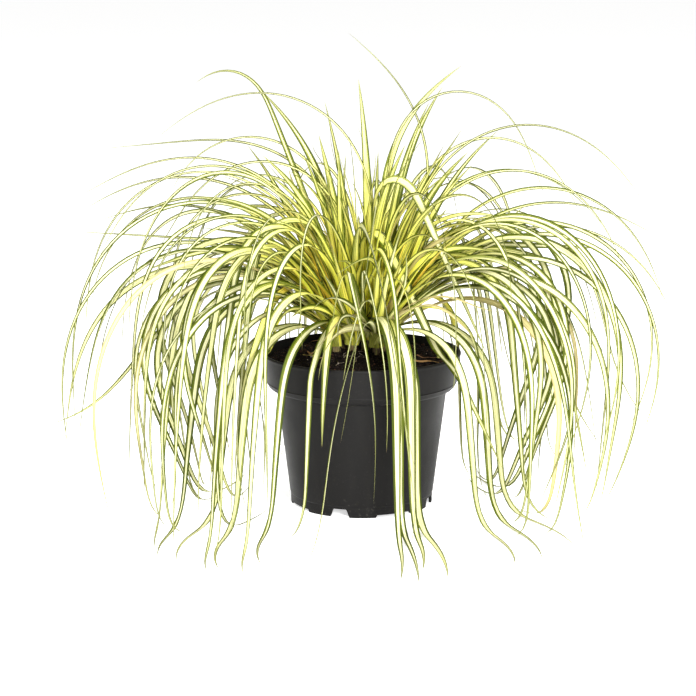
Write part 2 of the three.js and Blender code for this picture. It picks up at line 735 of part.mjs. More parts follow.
// --- Blade solids ------------------------------------------------------------------------------

// A blade with a three-sided section, two edges and a keel below, that ends in a point. Where it
// twists, its faces are split along the diagonals that keep the upper and the lower ones apart.
function bladeSolid(spine) {
  const corners = [];
  const triangles = [];
  spine.forEach(({ centre, across, upward, half, depth }, index) => {
    if (index === spine.length - 1) {
      corners.push(centre);
      return;
    }
    corners.push(centre.clone().addScaledVector(across, half));
    corners.push(centre.clone().addScaledVector(across, -half));
    corners.push(centre.clone().addScaledVector(upward, -depth));
  });
  const last = spine.length - 2;
  for (let k = 0; k < last; k += 1) {
    const [a, b] = [spine[k], spine[k + 1]];
    const leans = a.across.clone().sub(b.across).dot(a.upward.clone().add(b.upward)) > 0;
    const [left, right, keel] = [3 * k, 3 * k + 1, 3 * k + 2];
    for (const [from, to] of [[left, right], [keel, left], [right, keel]]) {
      if (leans) {
        triangles.push(from, to, to + 3, from, to + 3, from + 3);
      } else {
        triangles.push(from, to, from + 3, to, to + 3, from + 3);
      }
    }
  }
  const tip = corners.length - 1;
  const [left, right, keel] = [3 * last, 3 * last + 1, 3 * last + 2];
  triangles.push(left, right, tip, right, keel, tip, keel, left, tip);
  triangles.push(0, 2, 1);
  const geometry = new THREE.BufferGeometry().setFromPoints(corners);
  geometry.setIndex(triangles);
  return toSolid(geometry);
}

// The outer skins of a solid: a hollow that fusing has sealed is filled, a loose scrap is dropped
function withoutHollows(solid) {
  const skins = solid.decompose();
  return skins.reduce((largest, skin) => (skin.volume() > largest.volume() ? skin : largest));
}

function makeTuft(index, spines) {
  let tuft = tuftBase(index);
  for (const spine of spines) {
    tuft = tuft.add(bladeSolid(spine));
  }
  return withoutHollows(tuft.simplify(SIMPLER));
}

function makeDryLeaf({ x, y, heading, length, width }) {
  const along = new THREE.Vector3(Math.cos(radians(heading)), Math.sin(radians(heading)), 0);
  const across = new THREE.Vector3(-along.y, along.x, 0);
  const spine = [];
  for (let k = 0; k <= DRY_LEAF_SEGMENTS; k += 1) {
    const share = k / DRY_LEAF_SEGMENTS;
    const centre = new THREE.Vector3(x, y, 0).addScaledVector(along, length * share);
    centre.z = soilHeight(centre.x, centre.y) + GAP + TIP_DEPTH;
    const half = width / 2 * (1 - 0.5 * share * share);
    spine.push({ centre, across, upward: new THREE.Vector3(0, 0, 1), half, depth: TIP_DEPTH });
  }
  return bladeSolid(spine);
}

// --- The part ----------------------------------------------------------------------------------

const part = new THREE.Group();
addMesh(part, 'pot', makePot(), 0x34332f, 0.55);
addMesh(part, 'potting_soil', makeSoil(), 0x35241a, 0.95);
plantSedge().forEach((spines, index) => {
  const name = `tuft_${String(index + 1).padStart(2, '0')}`;
  addMesh(part, name, makeTuft(index, spines), 0xb9bd63, 0.5);
});
DRY_LEAVES.forEach((leaf) => addMesh(part, leaf.name, makeDryLeaf(leaf), leaf.colour, 0.8));

export default part;
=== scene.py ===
"""A carex sedge in its nursery pot: the visible model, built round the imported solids.

Lengths are in millimetres until a mesh is made, which scales them to metres. The blades grow by the
same rule, with the same draws, as the solids' blades, so each fine blade lies on its solid. More
blades are then added in the room that is left.
"""

import json
import math
from itertools import combinations, zip_longest
from types import SimpleNamespace

import bpy
import numpy as np
from mathutils import Matrix, Vector, noise

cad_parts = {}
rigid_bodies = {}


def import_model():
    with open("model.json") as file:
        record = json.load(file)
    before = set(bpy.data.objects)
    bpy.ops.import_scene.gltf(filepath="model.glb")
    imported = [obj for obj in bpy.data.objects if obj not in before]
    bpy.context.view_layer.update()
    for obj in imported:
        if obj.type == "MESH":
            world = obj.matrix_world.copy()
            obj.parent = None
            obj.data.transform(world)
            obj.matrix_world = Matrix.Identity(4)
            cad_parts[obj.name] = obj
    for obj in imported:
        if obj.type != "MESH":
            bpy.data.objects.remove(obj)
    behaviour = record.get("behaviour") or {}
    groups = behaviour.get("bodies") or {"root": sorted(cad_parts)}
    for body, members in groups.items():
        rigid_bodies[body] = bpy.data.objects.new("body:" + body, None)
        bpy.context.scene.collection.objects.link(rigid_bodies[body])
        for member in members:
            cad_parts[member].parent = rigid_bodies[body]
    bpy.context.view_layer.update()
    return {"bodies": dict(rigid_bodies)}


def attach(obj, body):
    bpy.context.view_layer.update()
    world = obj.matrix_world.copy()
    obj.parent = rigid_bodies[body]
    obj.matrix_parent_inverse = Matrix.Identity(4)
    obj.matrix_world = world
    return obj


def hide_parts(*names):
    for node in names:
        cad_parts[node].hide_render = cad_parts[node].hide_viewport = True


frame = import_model()

MM = 0.001
ROOT = next(iter(frame["bodies"]))  # the only body, as nothing moves

# --- The solids' own numbers, in millimetres and degrees ---

POT_HEIGHT = 147
RIM_RADIUS = 95
SOIL_RADIUS = 92
SOIL_EDGE_Z = 138
SOIL_TOP_Z = 151

TUFTS = 13
CROWN_RADIUS = 31
CROWN_X = 2
GOLDEN_ANGLE = math.pi * (3 - math.sqrt(5))
BASE_RADIUS = 6
BASE_TALL_INSIDE = 20
BASE_TALL_OUTSIDE = 11
BASE_SPREAD = 3.6
BLADES_PER_TUFT = 14

STEPS = 48
SEGMENTS = 8
KEEL_DEPTH = 1.2
START_PITCH = 86
START_SUNK = 6
START_STRAIGHT = 8
TIGHTEST_BEND = 13
FREE_AFTER = 24
CLEAR = 2.2
PUSHED_OUT = 0.05
RIM_BEND = 14
GROUND_BEND = 38
REACH_LOW = (-306, -292)
REACH_HIGH = (303, 286)
FLICK_FROM = 0.72
KEEP_OUT = RIM_RADIUS + CLEAR
STATION_LENGTH = 60
STATION_TURN = math.radians(30)

CELL = 1.6
ROOM_LOW = np.array((-370, -370, -4.1))
ROOM_CELLS = (463, 463, 300)
ROOM_POT = 255
TEST_SWELL = 0.2
TAKE_SWELL = 0.8
SHARED_LENGTH = 45
ALONG_SAMPLE = 1.37
ACROSS_SAMPLE = 1.5

LEADING_BLADES = [
    # tuft, heading, lift, tip pitch, bend from, bend to, drift, length, width, flick
    (6, 184, 69, -50, 0.7, 1.04, 0, 325, 8),
    (8, 2, 74, 140, 0.25, 1, 0, 322, 3.5),
    (0, 6, 86, 34, 0.38, 1.05, 0, 280, 10),
    (0, 358, 84, -70, 0.26, 0.98, 0, 430, 3),
    (5, 5, 78, -58, 0.16, 1.03, 0, 414, 3),
    (8, 354, 64, -78, 0.1, 1.05, 0, 398, 4),
    (8, 352, 44, -78, 0.16, 1.12, 0, 362, 4),
    (3, 178, 92, -42, 0.16, 1, 0, 405, 3),
    (6, 172, 84, -6, 0.12, 0.8, 0, 370, 3.5),
    (6, 186, 84, -82, 0.2, 1.05, 0, 345, 3.5),
    (1, 186, 64, -92, 0, 0.92, 6, 500, 5),
    (6, 178, 66, -36, 0.05, 1, 0, 372, 4),
    (4, 178, 57, 3, 0.05, 0.6, 0, 300, 4),
    (9, 176, 62, -84, 0.1, 1.05, 0, 378, 4),
    (9, 186, 50, -50, 0.02, 0.62, 0, 390, 7, 35),
    (3, 172, 74, -60, 0.15, 1, 0, 380, 3.5),
    (1, 168, 70, -30, 0.1, 1, 0, 380, 3.5),
    (4, 188, 72, -66, 0.15, 1, 0, 380, 3.5),
    (9, 172, 58, -20, 0.1, 1, 0, 320, 4),
    (8, 12, 78, -62, 0.2, 1.05, 0, 400, 3.5),
    (3, 20, 70, -50, 0.1, 1, 0, 360, 3.5),
    (5, 350, 72, -70, 0.15, 1, 0, 380, 3.5),
    (8, 8, 56, -30, 0.1, 1, 0, 330, 4),
    # broad upright leaves in the crown
    (1, 150, 80, 58, 0.3, 1.1, 0, 210, 9),
    (2, 300, 84, 62, 0.3, 1.1, 0, 170, 9),
    (5, 340, 74, 40, 0.3, 1.1, 0, 200, 9),
    (4, 200, 76, 30, 0.3, 1.1, 0, 200, 9),
    (3, 40, 76, 50, 0.3, 1.1, 0, 240, 9),
    (6, 120, 80, 60, 0.3, 1.1, 0, 230, 8),
    (7, 250, 78, 50, 0.3, 1.1, 0, 150, 9),
    (10, 320, 72, 40, 0.3, 1.1, 0, 170, 9),
    (8, 20, 70, 36, 0.3, 1.1, 0, 230, 8),
    (9, 150, 70, 40, 0.3, 1.1, 0, 220, 8),
    # the bundle that drapes over the front of the rim
    (10, 296, 16, -86, 0, 0.3, -30, 390, 10),
    (10, 284, 22, -86, 0, 0.32, -16, 400, 9),
    (2, 300, 24, -86, 0, 0.34, -32, 410, 10),
    (2, 290, 32, -84, 0, 0.38, -20, 420, 9),
    # over the rim at the left and the right of the front
    (7, 240, 32, -84, 0, 0.4, 16, 290, 6),
    (7, 226, 24, -80, 0, 0.4, 60, 380, 8),
    (12, 222, 26, -80, 0, 0.42, 66, 400, 9),
    (12, 208, 26, -80, 0, 0.42, 74, 400, 8),
    (10, 324, 24, -82, 0, 0.4, -64, 390, 8),
    (5, 330, 24, -84, 0, 0.42, -66, 400, 9),
    (5, 344, 22, -84, 0, 0.42, -74, 400, 8),
    # the long pale one from the crown's middle down to the right
    (2, 334, 86, -64, 0.27, 0.42, 0, 380, 10),
    # the left curtain
    (4, 214, 62, -76, 0.1, 0.56, 62, 470, 8),
    (12, 226, 54, -78, 0.04, 0.5, 56, 460, 9),
    (7, 232, 50, -78, 0.04, 0.48, 48, 440, 8),
    (12, 216, 58, -78, 0.06, 0.54, 62, 490, 8),
    (4, 222, 66, -80, 0.06, 0.56, 54, 480, 6),
    (9, 206, 56, -80, 0.05, 0.56, 78, 490, 8),
    (9, 198, 62, -84, 0.06, 0.64, 80, 510, 5),
    (12, 204, 46, -80, 0.03, 0.48, 76, 460, 9),
    (4, 198, 52, -86, 0.05, 0.6, 84, 490, 6),
    (9, 184, 54, -100, 0.05, 0.9, 40, 490, 5),
    (7, 214, 40, -96, 0, 0.8, 35, 440, 7),
    # the right curtain, which curves back in
    (5, 328, 58, -110, 0.05, 0.98, -14, 490, 7),
    (8, 340, 48, -114, 0, 0.95, -22, 480, 7),
    (5, 316, 54, -106, 0, 0.92, -12, 460, 7),
    (8, 330, 44, -108, 0, 0.92, -24, 470, 8),
    (10, 322, 44, -104, 0, 0.86, -20, 450, 8),
    (8, 336, 54, -102, 0.04, 0.84, -40, 500, 9),
    (5, 324, 50, -100, 0.04, 0.8, -28, 480, 8),
    (8, 330, 38, -98, 0.03, 0.76, -36, 450, 8),
    (10, 318, 50, -92, 0, 0.66, -22, 450, 8),
    (2, 320, 58, -88, 0.05, 0.6, -20, 460, 8),
    (5, 340, 62, -96, 0.05, 0.8, -40, 500, 6),
    (8, 334, 50, -118, 0, 1, -8, 480, 6),
    (5, 322, 46, -116, 0, 1, -8, 470, 6),
    (10, 324, 54, -112, 0, 0.98, -14, 480, 5),
    (8, 346, 56, -116, 0, 1, -16, 490, 5),
    (5, 336, 40, -112, 0, 0.96, -18, 450, 7),
    # more of the left curtain
    (12, 210, 50, -104, 0, 0.94, 24, 480, 6),
    (4, 206, 44, -100, 0, 0.9, 30, 460, 6),
    (7, 228, 56, -84, 0.04, 0.6, 40, 470, 6),
    (12, 232, 46, -92, 0, 0.7, 24, 440, 6),
    # the back
    (3, 78, 62, -70, 0.08, 0.95, 12, 412, 7),
    (11, 110, 46, -80, 0.02, 0.8, -20, 430, 7),
    (11, 80, 60, -70, 0.1, 0.9, 10, 420, 6),
]
LEADING_NAMES = "tuft heading lift tip_pitch bend_from bend_to drift length width flick".split()
LEADING_TWIST = 75
LEADING_OFFSET = 3
LEADING_TRIES = {"count": 30, "turn": 10, "tilt": 8}
OTHER_TRIES = {"count": 40, "turn": 80, "tilt": 22}
STRICT_SHARE = 0.9
YOUNG_SHARE = 0.2
SEED = 1010


# --- Small helpers ---


def mix(start, end, share):
    return start + (end - start) * share


def clamp(value, low, high):
    return max(low, min(high, value))


def ramp(value, start, end):
    x = np.clip((value - start) / (end - start), 0, 1)
    return x * x * (3 - 2 * x)


class Draw:
    """Draws numbers between two others, from a seed, by the Park-Miller rule."""

    def __init__(self, seed):
        self.state = seed

    def __call__(self, low=0.0, high=1.0):
        self.state = self.state * 16807 % 2147483647
        return low + (high - low) * (self.state - 1) / 2147483646


def soil_height(x, y):
    """The mound that everything stands on, before its dents."""
    share = np.hypot(x, y) / SOIL_RADIUS
    return SOIL_EDGE_Z + (SOIL_TOP_Z - SOIL_EDGE_Z) * np.maximum(0, 1 - share * share)


# --- Growth, by the rule of the solids' blades ---


def tuft_place(index):
    """Where a tuft stands: its share of the crown's radius is 0 in the middle, 1 outside."""
    share = math.sqrt((index + 0.5) / TUFTS)
    angle = index * GOLDEN_ANGLE
    x = CROWN_X + CROWN_RADIUS * share * math.cos(angle)
    y = CROWN_RADIUS * share * math.sin(angle)
    return SimpleNamespace(
        x=x,
        y=y,
        z=float(soil_height(x, y)),
        share=share,
        angle=angle,
        tall=mix(BASE_TALL_INSIDE, BASE_TALL_OUTSIDE, share),
    )


PLACES = [tuft_place(index) for index in range(TUFTS)]


def levelled(want, pitch, tip_pitch, height, bend_radius, is_inside):
    """A blade that comes down levels out over the rim or the ground."""
    if height >= 2 * bend_radius:
        return want
    level = math.acos(clamp(1 - height / bend_radius, -1, 1))
    if is_inside or tip_pitch > -90 or pitch > -math.pi / 2:
        return max(want, -level)
    return min(want, level - math.pi)


def grow_blade(blade):
    """The centre line of a blade: points, and the pitch, heading and share of the length at each."""
    foot = PLACES[blade.tuft]
    step = blade.length / STEPS
    most = step / TIGHTEST_BEND
    shares = np.arange(STEPS + 1) / STEPS
    headings = np.radians(blade.heading + blade.drift * shares * shares)
    lift, tip, flick = np.radians((blade.lift, blade.tip_pitch, blade.flick))
    wants = mix(lift, tip, ramp(shares, blade.bend_from, blade.bend_to))
    wants = wants + flick * ramp(shares, FLICK_FROM, 1)
    wants[shares * blade.length < START_STRAIGHT] = math.radians(START_PITCH)
    pitch = math.radians(START_PITCH)
    x = foot.x + blade.offset * math.cos(headings[0])
    y = foot.y + blade.offset * math.sin(headings[0])
    z = foot.z + foot.tall - START_SUNK
    path = []
    for share, heading, want in zip(shares.tolist(), headings.tolist(), wants.tolist()):
        path.append((x, y, z, pitch, heading, share))
        radius = math.hypot(x, y)
        is_free = share * blade.length > FREE_AFTER
        if is_free:
            is_inside = radius < KEEP_OUT
            height = z - (POT_HEIGHT if is_inside else 0) - CLEAR
            bend_radius = RIM_BEND if is_inside else GROUND_BEND
            want = levelled(want, pitch, blade.tip_pitch, height, bend_radius, is_inside)
        pitch += clamp(want - pitch, -most, most)
        x += step * math.cos(pitch) * math.cos(heading)
        y += step * math.cos(pitch) * math.sin(heading)
        z += step * math.sin(pitch)
        if is_free:
            z = max(z, CLEAR)
            reached = math.hypot(x, y)
            if reached < KEEP_OUT and z < POT_HEIGHT + CLEAR:
                if radius >= KEEP_OUT - 0.5:
                    x *= (KEEP_OUT + PUSHED_OUT) / reached
                    y *= (KEEP_OUT + PUSHED_OUT) / reached
                else:
                    z = POT_HEIGHT + CLEAR
    return np.array(path)


def pick_stations(path):
    """Points of the path that stand closer together where the blade turns."""
    lengths = np.linalg.norm(np.diff(path[:, :3], axis=0), axis=1)
    turns = np.abs(np.diff(path[:, 3]))
    weight = np.append(0, np.cumsum(lengths / STATION_LENGTH + turns / STATION_TURN))
    marks = weight[-1] * np.arange(SEGMENTS + 1) / SEGMENTS - 1e-9
    return path[np.minimum(np.searchsorted(weight, marks), len(path) - 1)]


def blade_spine(blade, path):
    """The path's centres with the directions across the blade and out of its upper face."""
    centre = path[:, :3]
    pitch, heading, share = path[:, 3], path[:, 4], path[:, 5]
    aside = np.maximum(0, np.hypot(centre[:, 0], centre[:, 1]) - RIM_RADIUS)
    to_pot = np.hypot(aside, np.maximum(0, centre[:, 2] - POT_HEIGHT))
    loose = np.clip((np.minimum(to_pot, centre[:, 2]) - 3) / 10, 0, 1)
    roll = np.radians(blade.roll + blade.twist * ramp(share, 0.05, 0.65)) * loose
    flat = np.cos(pitch)
    tangent = np.stack([flat * np.cos(heading), flat * np.sin(heading), np.sin(pitch)], axis=1)
    level = np.stack([-np.sin(heading), np.cos(heading), np.zeros(len(path))], axis=1)
    rise = np.cross(tangent, level)
    cos, sin = np.cos(roll)[:, None], np.sin(roll)[:, None]
    return SimpleNamespace(
        centre=centre,
        across=level * cos + rise * sin,
        upward=rise * cos - level * sin,
        half=blade.width * np.minimum(1, 0.38 + 2.6 * share) * (1 - share * share) / 2,
        share=share,
    )


# --- Room for the blades ---


class Room:
    """The room that the planting is tested in, as cubes that each have an owner."""

    def __init__(self):
        self.owners = np.zeros(ROOM_CELLS, np.uint8)
        x, y, z = (ROOM_LOW[a] + (np.arange(ROOM_CELLS[a]) + 0.5) * CELL for a in range(3))
        is_near = np.flatnonzero(np.abs(x) < RIM_RADIUS + 3)
        near = slice(is_near[0], is_near[-1] + 1)
        x, y = x[near, None], y[None, near]
        radius = np.hypot(x, y)
        soil = np.where(radius < SOIL_RADIUS, soil_height(x, y), 0)
        top = np.where(radius < RIM_RADIUS + 1, np.maximum(POT_HEIGHT, soil) + 1, -np.inf)
        part = self.owners[near, near]
        part[(z > ROOM_LOW[2]) & (z < top[..., None])] = ROOM_POT
        for tuft, foot in enumerate(PLACES):
            from_foot = np.hypot(x - foot.x, y - foot.y)
            is_base = (from_foot < BASE_RADIUS + 0.8) & (radius < RIM_RADIUS + 1)
            is_tall = (z > foot.z - 1) & (z < foot.z + foot.tall + 0.8)
            part[is_base[..., None] & is_tall] = tuft + 1
        self.owners = self.owners.reshape(-1)

    def swept(self, spine, swell):
        """The cells that a swollen blade fills, with the length passed at each."""
        cells, passed_at = [], []
        passed = 0.0
        half_depth = KEEL_DEPTH / 2 + swell
        deep = math.ceil(half_depth / ACROSS_SAMPLE)
        v = np.arange(-deep, deep + 1) / deep
        for s in range(len(spine.centre) - 1):
            a, b = spine.centre[s], spine.centre[s + 1]
            length = math.sqrt(float(((b - a) ** 2).sum()))
            along = math.floor(length / ALONG_SAMPLE) + 1
            across = math.ceil((max(spine.half[s], spine.half[s + 1]) + swell) / ACROSS_SAMPLE)
            u = np.arange(-across, across + 1) / across
            share = ((np.arange(along) + 0.5) / along)[:, None]
            half = mix(spine.half[s], spine.half[s + 1], share) + swell
            centre = a + (b - a) * share
            side = (spine.across[s] * (1 - share) + spine.across[s + 1] * share) * half
            rise = (spine.upward[s] * (1 - share) + spine.upward[s + 1] * share) * half_depth
            points = (
                centre[:, None, None]
                + side[:, None, None] * u[None, :, None, None]
                + rise[:, None, None] * v[None, None, :, None]
            )
            found = np.floor((points - ROOM_LOW) / CELL).astype(np.int64)
            flat = (found[..., 0] * ROOM_CELLS[1] + found[..., 1]) * ROOM_CELLS[2] + found[..., 2]
            cells.append(flat.reshape(-1))
            passed_at.append(np.repeat(passed + share[:, 0] * length, len(u) * len(v)))
            passed += length
        return np.concatenate(cells), np.concatenate(passed_at)

    def met(self, spine, swell):
        """The owners of the cells that a blade meets, or None where it leaves the room."""
        cells, passed = self.swept(spine, swell)
        is_within = cells.min() >= 0 and cells.max() < len(self.owners)
        return (self.owners[cells] if is_within else None), passed

    def is_free(self, spine, tuft, is_strict):
        owner, passed = self.met(spine, TEST_SWELL)
        if owner is None or np.any((owner != 0) & (owner != tuft + 1) & (passed >= START_SUNK)):
            return False
        return not (is_strict and np.any((owner != 0) & (passed >= SHARED_LENGTH)))

    def take(self, spine, tuft):
        cells, passed = self.swept(spine, TAKE_SWELL)
        cells = cells[passed >= START_SUNK]
        self.owners[cells[self.owners[cells] == 0]] = tuft + 1


# --- Planting ---


def leading_blade(row, twist=LEADING_TWIST):
    """A blade from a row of the tables. A row that doesn't say its flick has none."""
    blade = SimpleNamespace(**dict(zip_longest(LEADING_NAMES, row, fillvalue=0)))
    blade.twist = twist * math.cos(math.radians(blade.heading))
    blade.offset = LEADING_OFFSET
    blade.roll = 0
    return blade


def redraw(blade, draw, **ranges):
    """Draws some of a blade's numbers, each between two others."""
    for name, (low, high) in ranges.items():
        setattr(blade, name, draw(low, high))


def other_blade(tuft, order, draw):
    """One of a tuft's other blades: the first are steep, the last old and low."""
    foot = PLACES[tuft]
    age = (order + draw(0, 0.9)) / BLADES_PER_TUFT
    spread = mix(115, 55, foot.share)
    is_young = draw() < YOUNG_SHARE
    heading = math.degrees(foot.angle) + draw(-spread, spread)
    to_side = math.cos(math.radians(heading))
    to_back = math.sin(math.radians(heading))
    blade = SimpleNamespace(tuft=tuft, heading=heading)
    redraw(blade, draw, roll=(-25, 25), twist=(-100, 100))
    blade.offset = BASE_SPREAD * math.sqrt(draw())
    blade.lift = mix(72, mix(50, 28, foot.share), age) + draw(-8, 8)
    redraw(blade, draw, length=(360, 490), tip_pitch=(-98, -66), bend_from=(0, 0.12))
    blade.bend_to = blade.bend_from + draw(0.5, 0.95)
    blade.width = draw(3, mix(5, 9.5, age))
    blade.flick = max(0, draw(-90, 40))
    if to_back < 0.25:
        blade.drift = -to_side * draw(20, 90) + draw(-12, 12)
    else:
        blade.drift = draw(-30, 30)
    if to_back < -0.8:
        redraw(blade, draw, lift=(20, 70), length=(150, 240), tip_pitch=(-60, 30), width=(3.5, 8))
        blade.bend_to = 1.1
    if is_young:
        redraw(blade, draw, lift=(64, 88), length=(140, 240), tip_pitch=(0, 60), width=(3, 7))
        blade.bend_from, blade.bend_to = 0.2, 1.1
    return blade


def place_blade(room, wanted, tries, draw):
    """Each try changes a blade more, until it has room. Returns the blade that has."""
    for n in range(tries["count"]):
        blade = SimpleNamespace(**vars(wanted))
        change = n / tries["count"]
        if n > 0:
            blade.heading += draw(-tries["turn"], tries["turn"]) * change
            blade.lift += draw(-tries["tilt"], tries["tilt"]) * change
            blade.bend_from += draw(-0.05, 0.1) * change
            blade.bend_to += draw(-0.15, 0.15) * change
            blade.length *= draw(0.92, 1)
        path = grow_blade(blade)
        spine = blade_spine(blade, pick_stations(path))
        ends = spine.centre[:, :2]
        is_within = np.all((ends > REACH_LOW) & (ends < REACH_HIGH))
        if is_within and room.is_free(spine, blade.tuft, change < STRICT_SHARE):
            room.take(spine, blade.tuft)
            blade.path = path
            return blade
    return None


def plant_sedge(room):
    """Every tuft's blades: the leading ones first, then round by round for all tufts."""
    draw = Draw(SEED)
    tufts = [[] for _ in range(TUFTS)]

    def plant(wanted, tries):
        blade = place_blade(room, wanted, tries, draw)
        if blade:
            tufts[blade.tuft].append(blade)

    for row in LEADING_BLADES:
        plant(leading_blade(row), LEADING_TRIES)
    for order in range(BLADES_PER_TUFT):
        for n in range(TUFTS):
            tuft = TUFTS - 1 - n if order % 2 else n
            if len(tufts[tuft]) < BLADES_PER_TUFT:
                plant(other_blade(tuft, order, draw), OTHER_TRIES)
    return tufts


# --- Meshes ---

STRIP_UNIT = 100  # lengths along a ribbon are in decimetres where a material reads them
MAP_MARGIN = 0.04  # the share of a column of the bake's map that stays free at each side


def add_object(name, data):
    thing = bpy.data.objects.new(name, data)
    bpy.context.scene.collection.objects.link(thing)
    return thing


def make_piece(name, points, loops, sizes, material, layers=None, bake_map=None, sharp=None):
    """A mesh piece from points in millimetres and its faces' corners, one after the other."""
    mesh = bpy.data.meshes.new(name)
    mesh.vertices.add(len(points))
    mesh.vertices.foreach_set("co", (np.asarray(points) * MM).astype(np.float32).ravel())
    mesh.loops.add(len(loops))
    mesh.loops.foreach_set("vertex_index", np.asarray(loops, np.int32))
    mesh.polygons.add(len(sizes))
    starts = np.concatenate([[0], np.cumsum(sizes)[:-1]])
    mesh.polygons.foreach_set("loop_start", starts.astype(np.int32))
    for layer, values in (layers or {}).items():
        data = mesh.attributes.new(layer, "FLOAT_VECTOR", "POINT").data
        data.foreach_set("vector", np.asarray(values, np.float32).ravel())
    if bake_map is not None:
        corners = mesh.uv_layers.new(name="OFBake").data
        corners.foreach_set("uv", np.asarray(bake_map, np.float32).ravel())
    mesh.update(calc_edges=True)
    mesh.validate()
    mesh.shade_smooth()
    if sharp:
        mesh.set_sharp_from_angle(angle=math.radians(sharp))
    mesh.materials.append(material)
    return add_object(name, mesh)


def place(piece, slot, *nodes):
    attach(piece, ROOT)
    if nodes:
        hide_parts(*nodes)


def turned_faces(rings, count):
    """The faces of a closed turned form: rings of points, then the middles of its two ends."""
    loops, sizes = [], []
    last = (rings - 1) * count
    low, high = rings * count, rings * count + 1
    for i in range(count):
        j = (i + 1) % count
        loops += [low, j, i]
        for k in range(0, last, count):
            loops += [k + i, k + j, k + count + j, k + count + i]
        loops += [last + i, last + j, high]
        sizes += [3, *[4] * (rings - 1), 3]
    return loops, sizes


class Ribbons:
    """Blades, sheaths, scraps and fibres that go into one mesh.

    A ribbon is a thin closed strip that follows a spine. Each point knows how far across and along
    its ribbon it is, and what its ribbon is like, for the material to draw the stripes from.
    """

    TOP = (-1, -0.5, -0.1, 0.1, 0.5, 1)
    UNDER = (0.5, 0, -0.5)
    ACROSS = np.array(TOP + UNDER)

    def __init__(self):
        self.points, self.strip, self.leaf = [], [], []
        self.loops, self.sizes, self.bake_map = [], [], []
        self.count = 0

    def add(self, spine, half, fold, thick, looks, wrap=0.0, older=0.0):
        """half, fold and thick are given at each station. fold is the angle of each side, in
        radians, wrap the half angle of the arc that the section is bent to, and older the
        length that the ribbon is coloured ahead by."""
        rings, size = len(spine.centre) - 1, len(self.ACROSS)
        points = self.section_points(spine, rings, half, fold, thick, wrap)
        lengths = np.linalg.norm(np.diff(spine.centre, axis=0), axis=1)
        grown = np.concatenate([[0], np.cumsum(lengths)])
        share = grown / grown[-1]
        across = np.append(np.tile(self.ACROSS, rings), 0)
        along = np.append(np.repeat(np.arange(rings), size), rings)
        self.strip.append(np.stack([across, (grown[along] + older) / STRIP_UNIT, share[along]], 1))
        self.leaf.append(np.broadcast_to(np.asarray(looks, float), points.shape))
        self.add_faces(rings, size)
        self.add_bake_map(share, rings, size)
        self.points.append(points)
        self.count += len(points)

    def section_points(self, spine, rings, half, fold, thick, wrap):
        """A section at each station but the last, and the tip."""
        half, fold, thick, wrap = (
            np.broadcast_to(a, rings + 1)[:rings, None] for a in (half, fold, thick, wrap)
        )
        is_under = np.arange(len(self.ACROSS)) >= len(self.TOP)
        bend = np.maximum(np.asarray(wrap, float), 1e-4)
        side = half * np.cos(fold) * np.sin(bend * self.ACROSS) / bend
        rise = half * np.abs(self.ACROSS) * np.sin(fold)
        rise = rise + half * (1 - np.cos(bend * self.ACROSS)) / bend
        rise = rise - (rise.max(axis=1) / 2)[:, None] - thick * is_under
        points = spine.centre[:rings, None] + spine.across[:rings, None] * side[..., None]
        points = points + spine.upward[:rings, None] * rise[..., None]
        return np.concatenate([points.reshape(-1, 3), spine.centre[-1:]])

    def add_faces(self, rings, size):
        """Quads between the sections, a fan to the tip, and a cap over the first section."""
        j = np.arange(size)
        next_j = (j + 1) % size
        k = np.arange(rings - 1)[:, None] * size
        last = (rings - 1) * size
        quads = np.stack([k + j, k + size + j, k + size + next_j, k + next_j], axis=-1)
        fan = np.stack([last + j, np.full(size, rings * size), last + next_j], axis=-1)
        self.loops.append(self.count + np.concatenate([quads.ravel(), fan.ravel(), j]))
        self.sizes.append(np.repeat((4, 3, size), ((rings - 1) * size, size, 1)))

    def add_bake_map(self, share, rings, size):
        """Where each corner goes in the bake's map: a ribbon has two columns, one for each face."""
        u_from = (self.ACROSS + 1) / 2
        u_to = np.roll(u_from, -1)
        first = 2 * len(self.points) + MAP_MARGIN
        column = first + (np.arange(size) >= len(self.TOP) - 1)
        width = 1 - 2 * MAP_MARGIN
        left, right = column + width * u_from, column + width * u_to
        low, high, end = share[: rings - 1], share[1:rings], share[rings - 1]
        quad_u = np.tile(np.stack([left, left, right, right], 1).ravel(), rings - 1)
        quad_v = np.repeat(np.stack([low, high, high, low], 1), size, axis=0).ravel()
        fan_u = np.stack([left, (left + right) / 2, right], 1).ravel()
        u = np.concatenate([quad_u, fan_u, first + width * u_from])
        v = np.concatenate([quad_v, np.tile((end, 1, end), size), np.zeros(size)])
        self.bake_map.append(np.stack([u, v], 1))

    def finish(self, name, material):
        bake_map = np.concatenate(self.bake_map)
        bake_map[:, 0] /= 2 * len(self.points)
        return make_piece(
            name,
            np.concatenate(self.points),
            np.concatenate(self.loops),
            np.concatenate(self.sizes),
            material,
            {"strip": np.concatenate(self.strip), "leaf": np.concatenate(self.leaf)},
            bake_map,
            sharp=50,
        )


def free_spine(points, up=(0, 0, 1)):
    """A spine along a line of points, as level across as the upward direction lets it be."""
    centre = np.asarray(points, float)
    tangent = np.gradient(centre, axis=0)
    tangent /= np.linalg.norm(tangent, axis=1)[:, None]
    across = np.cross(np.broadcast_to(np.asarray(up, float), centre.shape), tangent)
    across /= np.linalg.norm(across, axis=1)[:, None]
    return SimpleNamespace(centre=centre, across=across, upward=np.cross(tangent, across))


# --- Materials ---


def colour(code):
    """A colour code such as "e9e79e" as the linear numbers that Blender takes."""
    parts = [int(code[i : i + 2], 16) / 255 for i in (0, 2, 4)]
    return [*(p / 12.92 if p <= 0.04045 else ((p + 0.055) / 1.055) ** 2.4 for p in parts), 1]


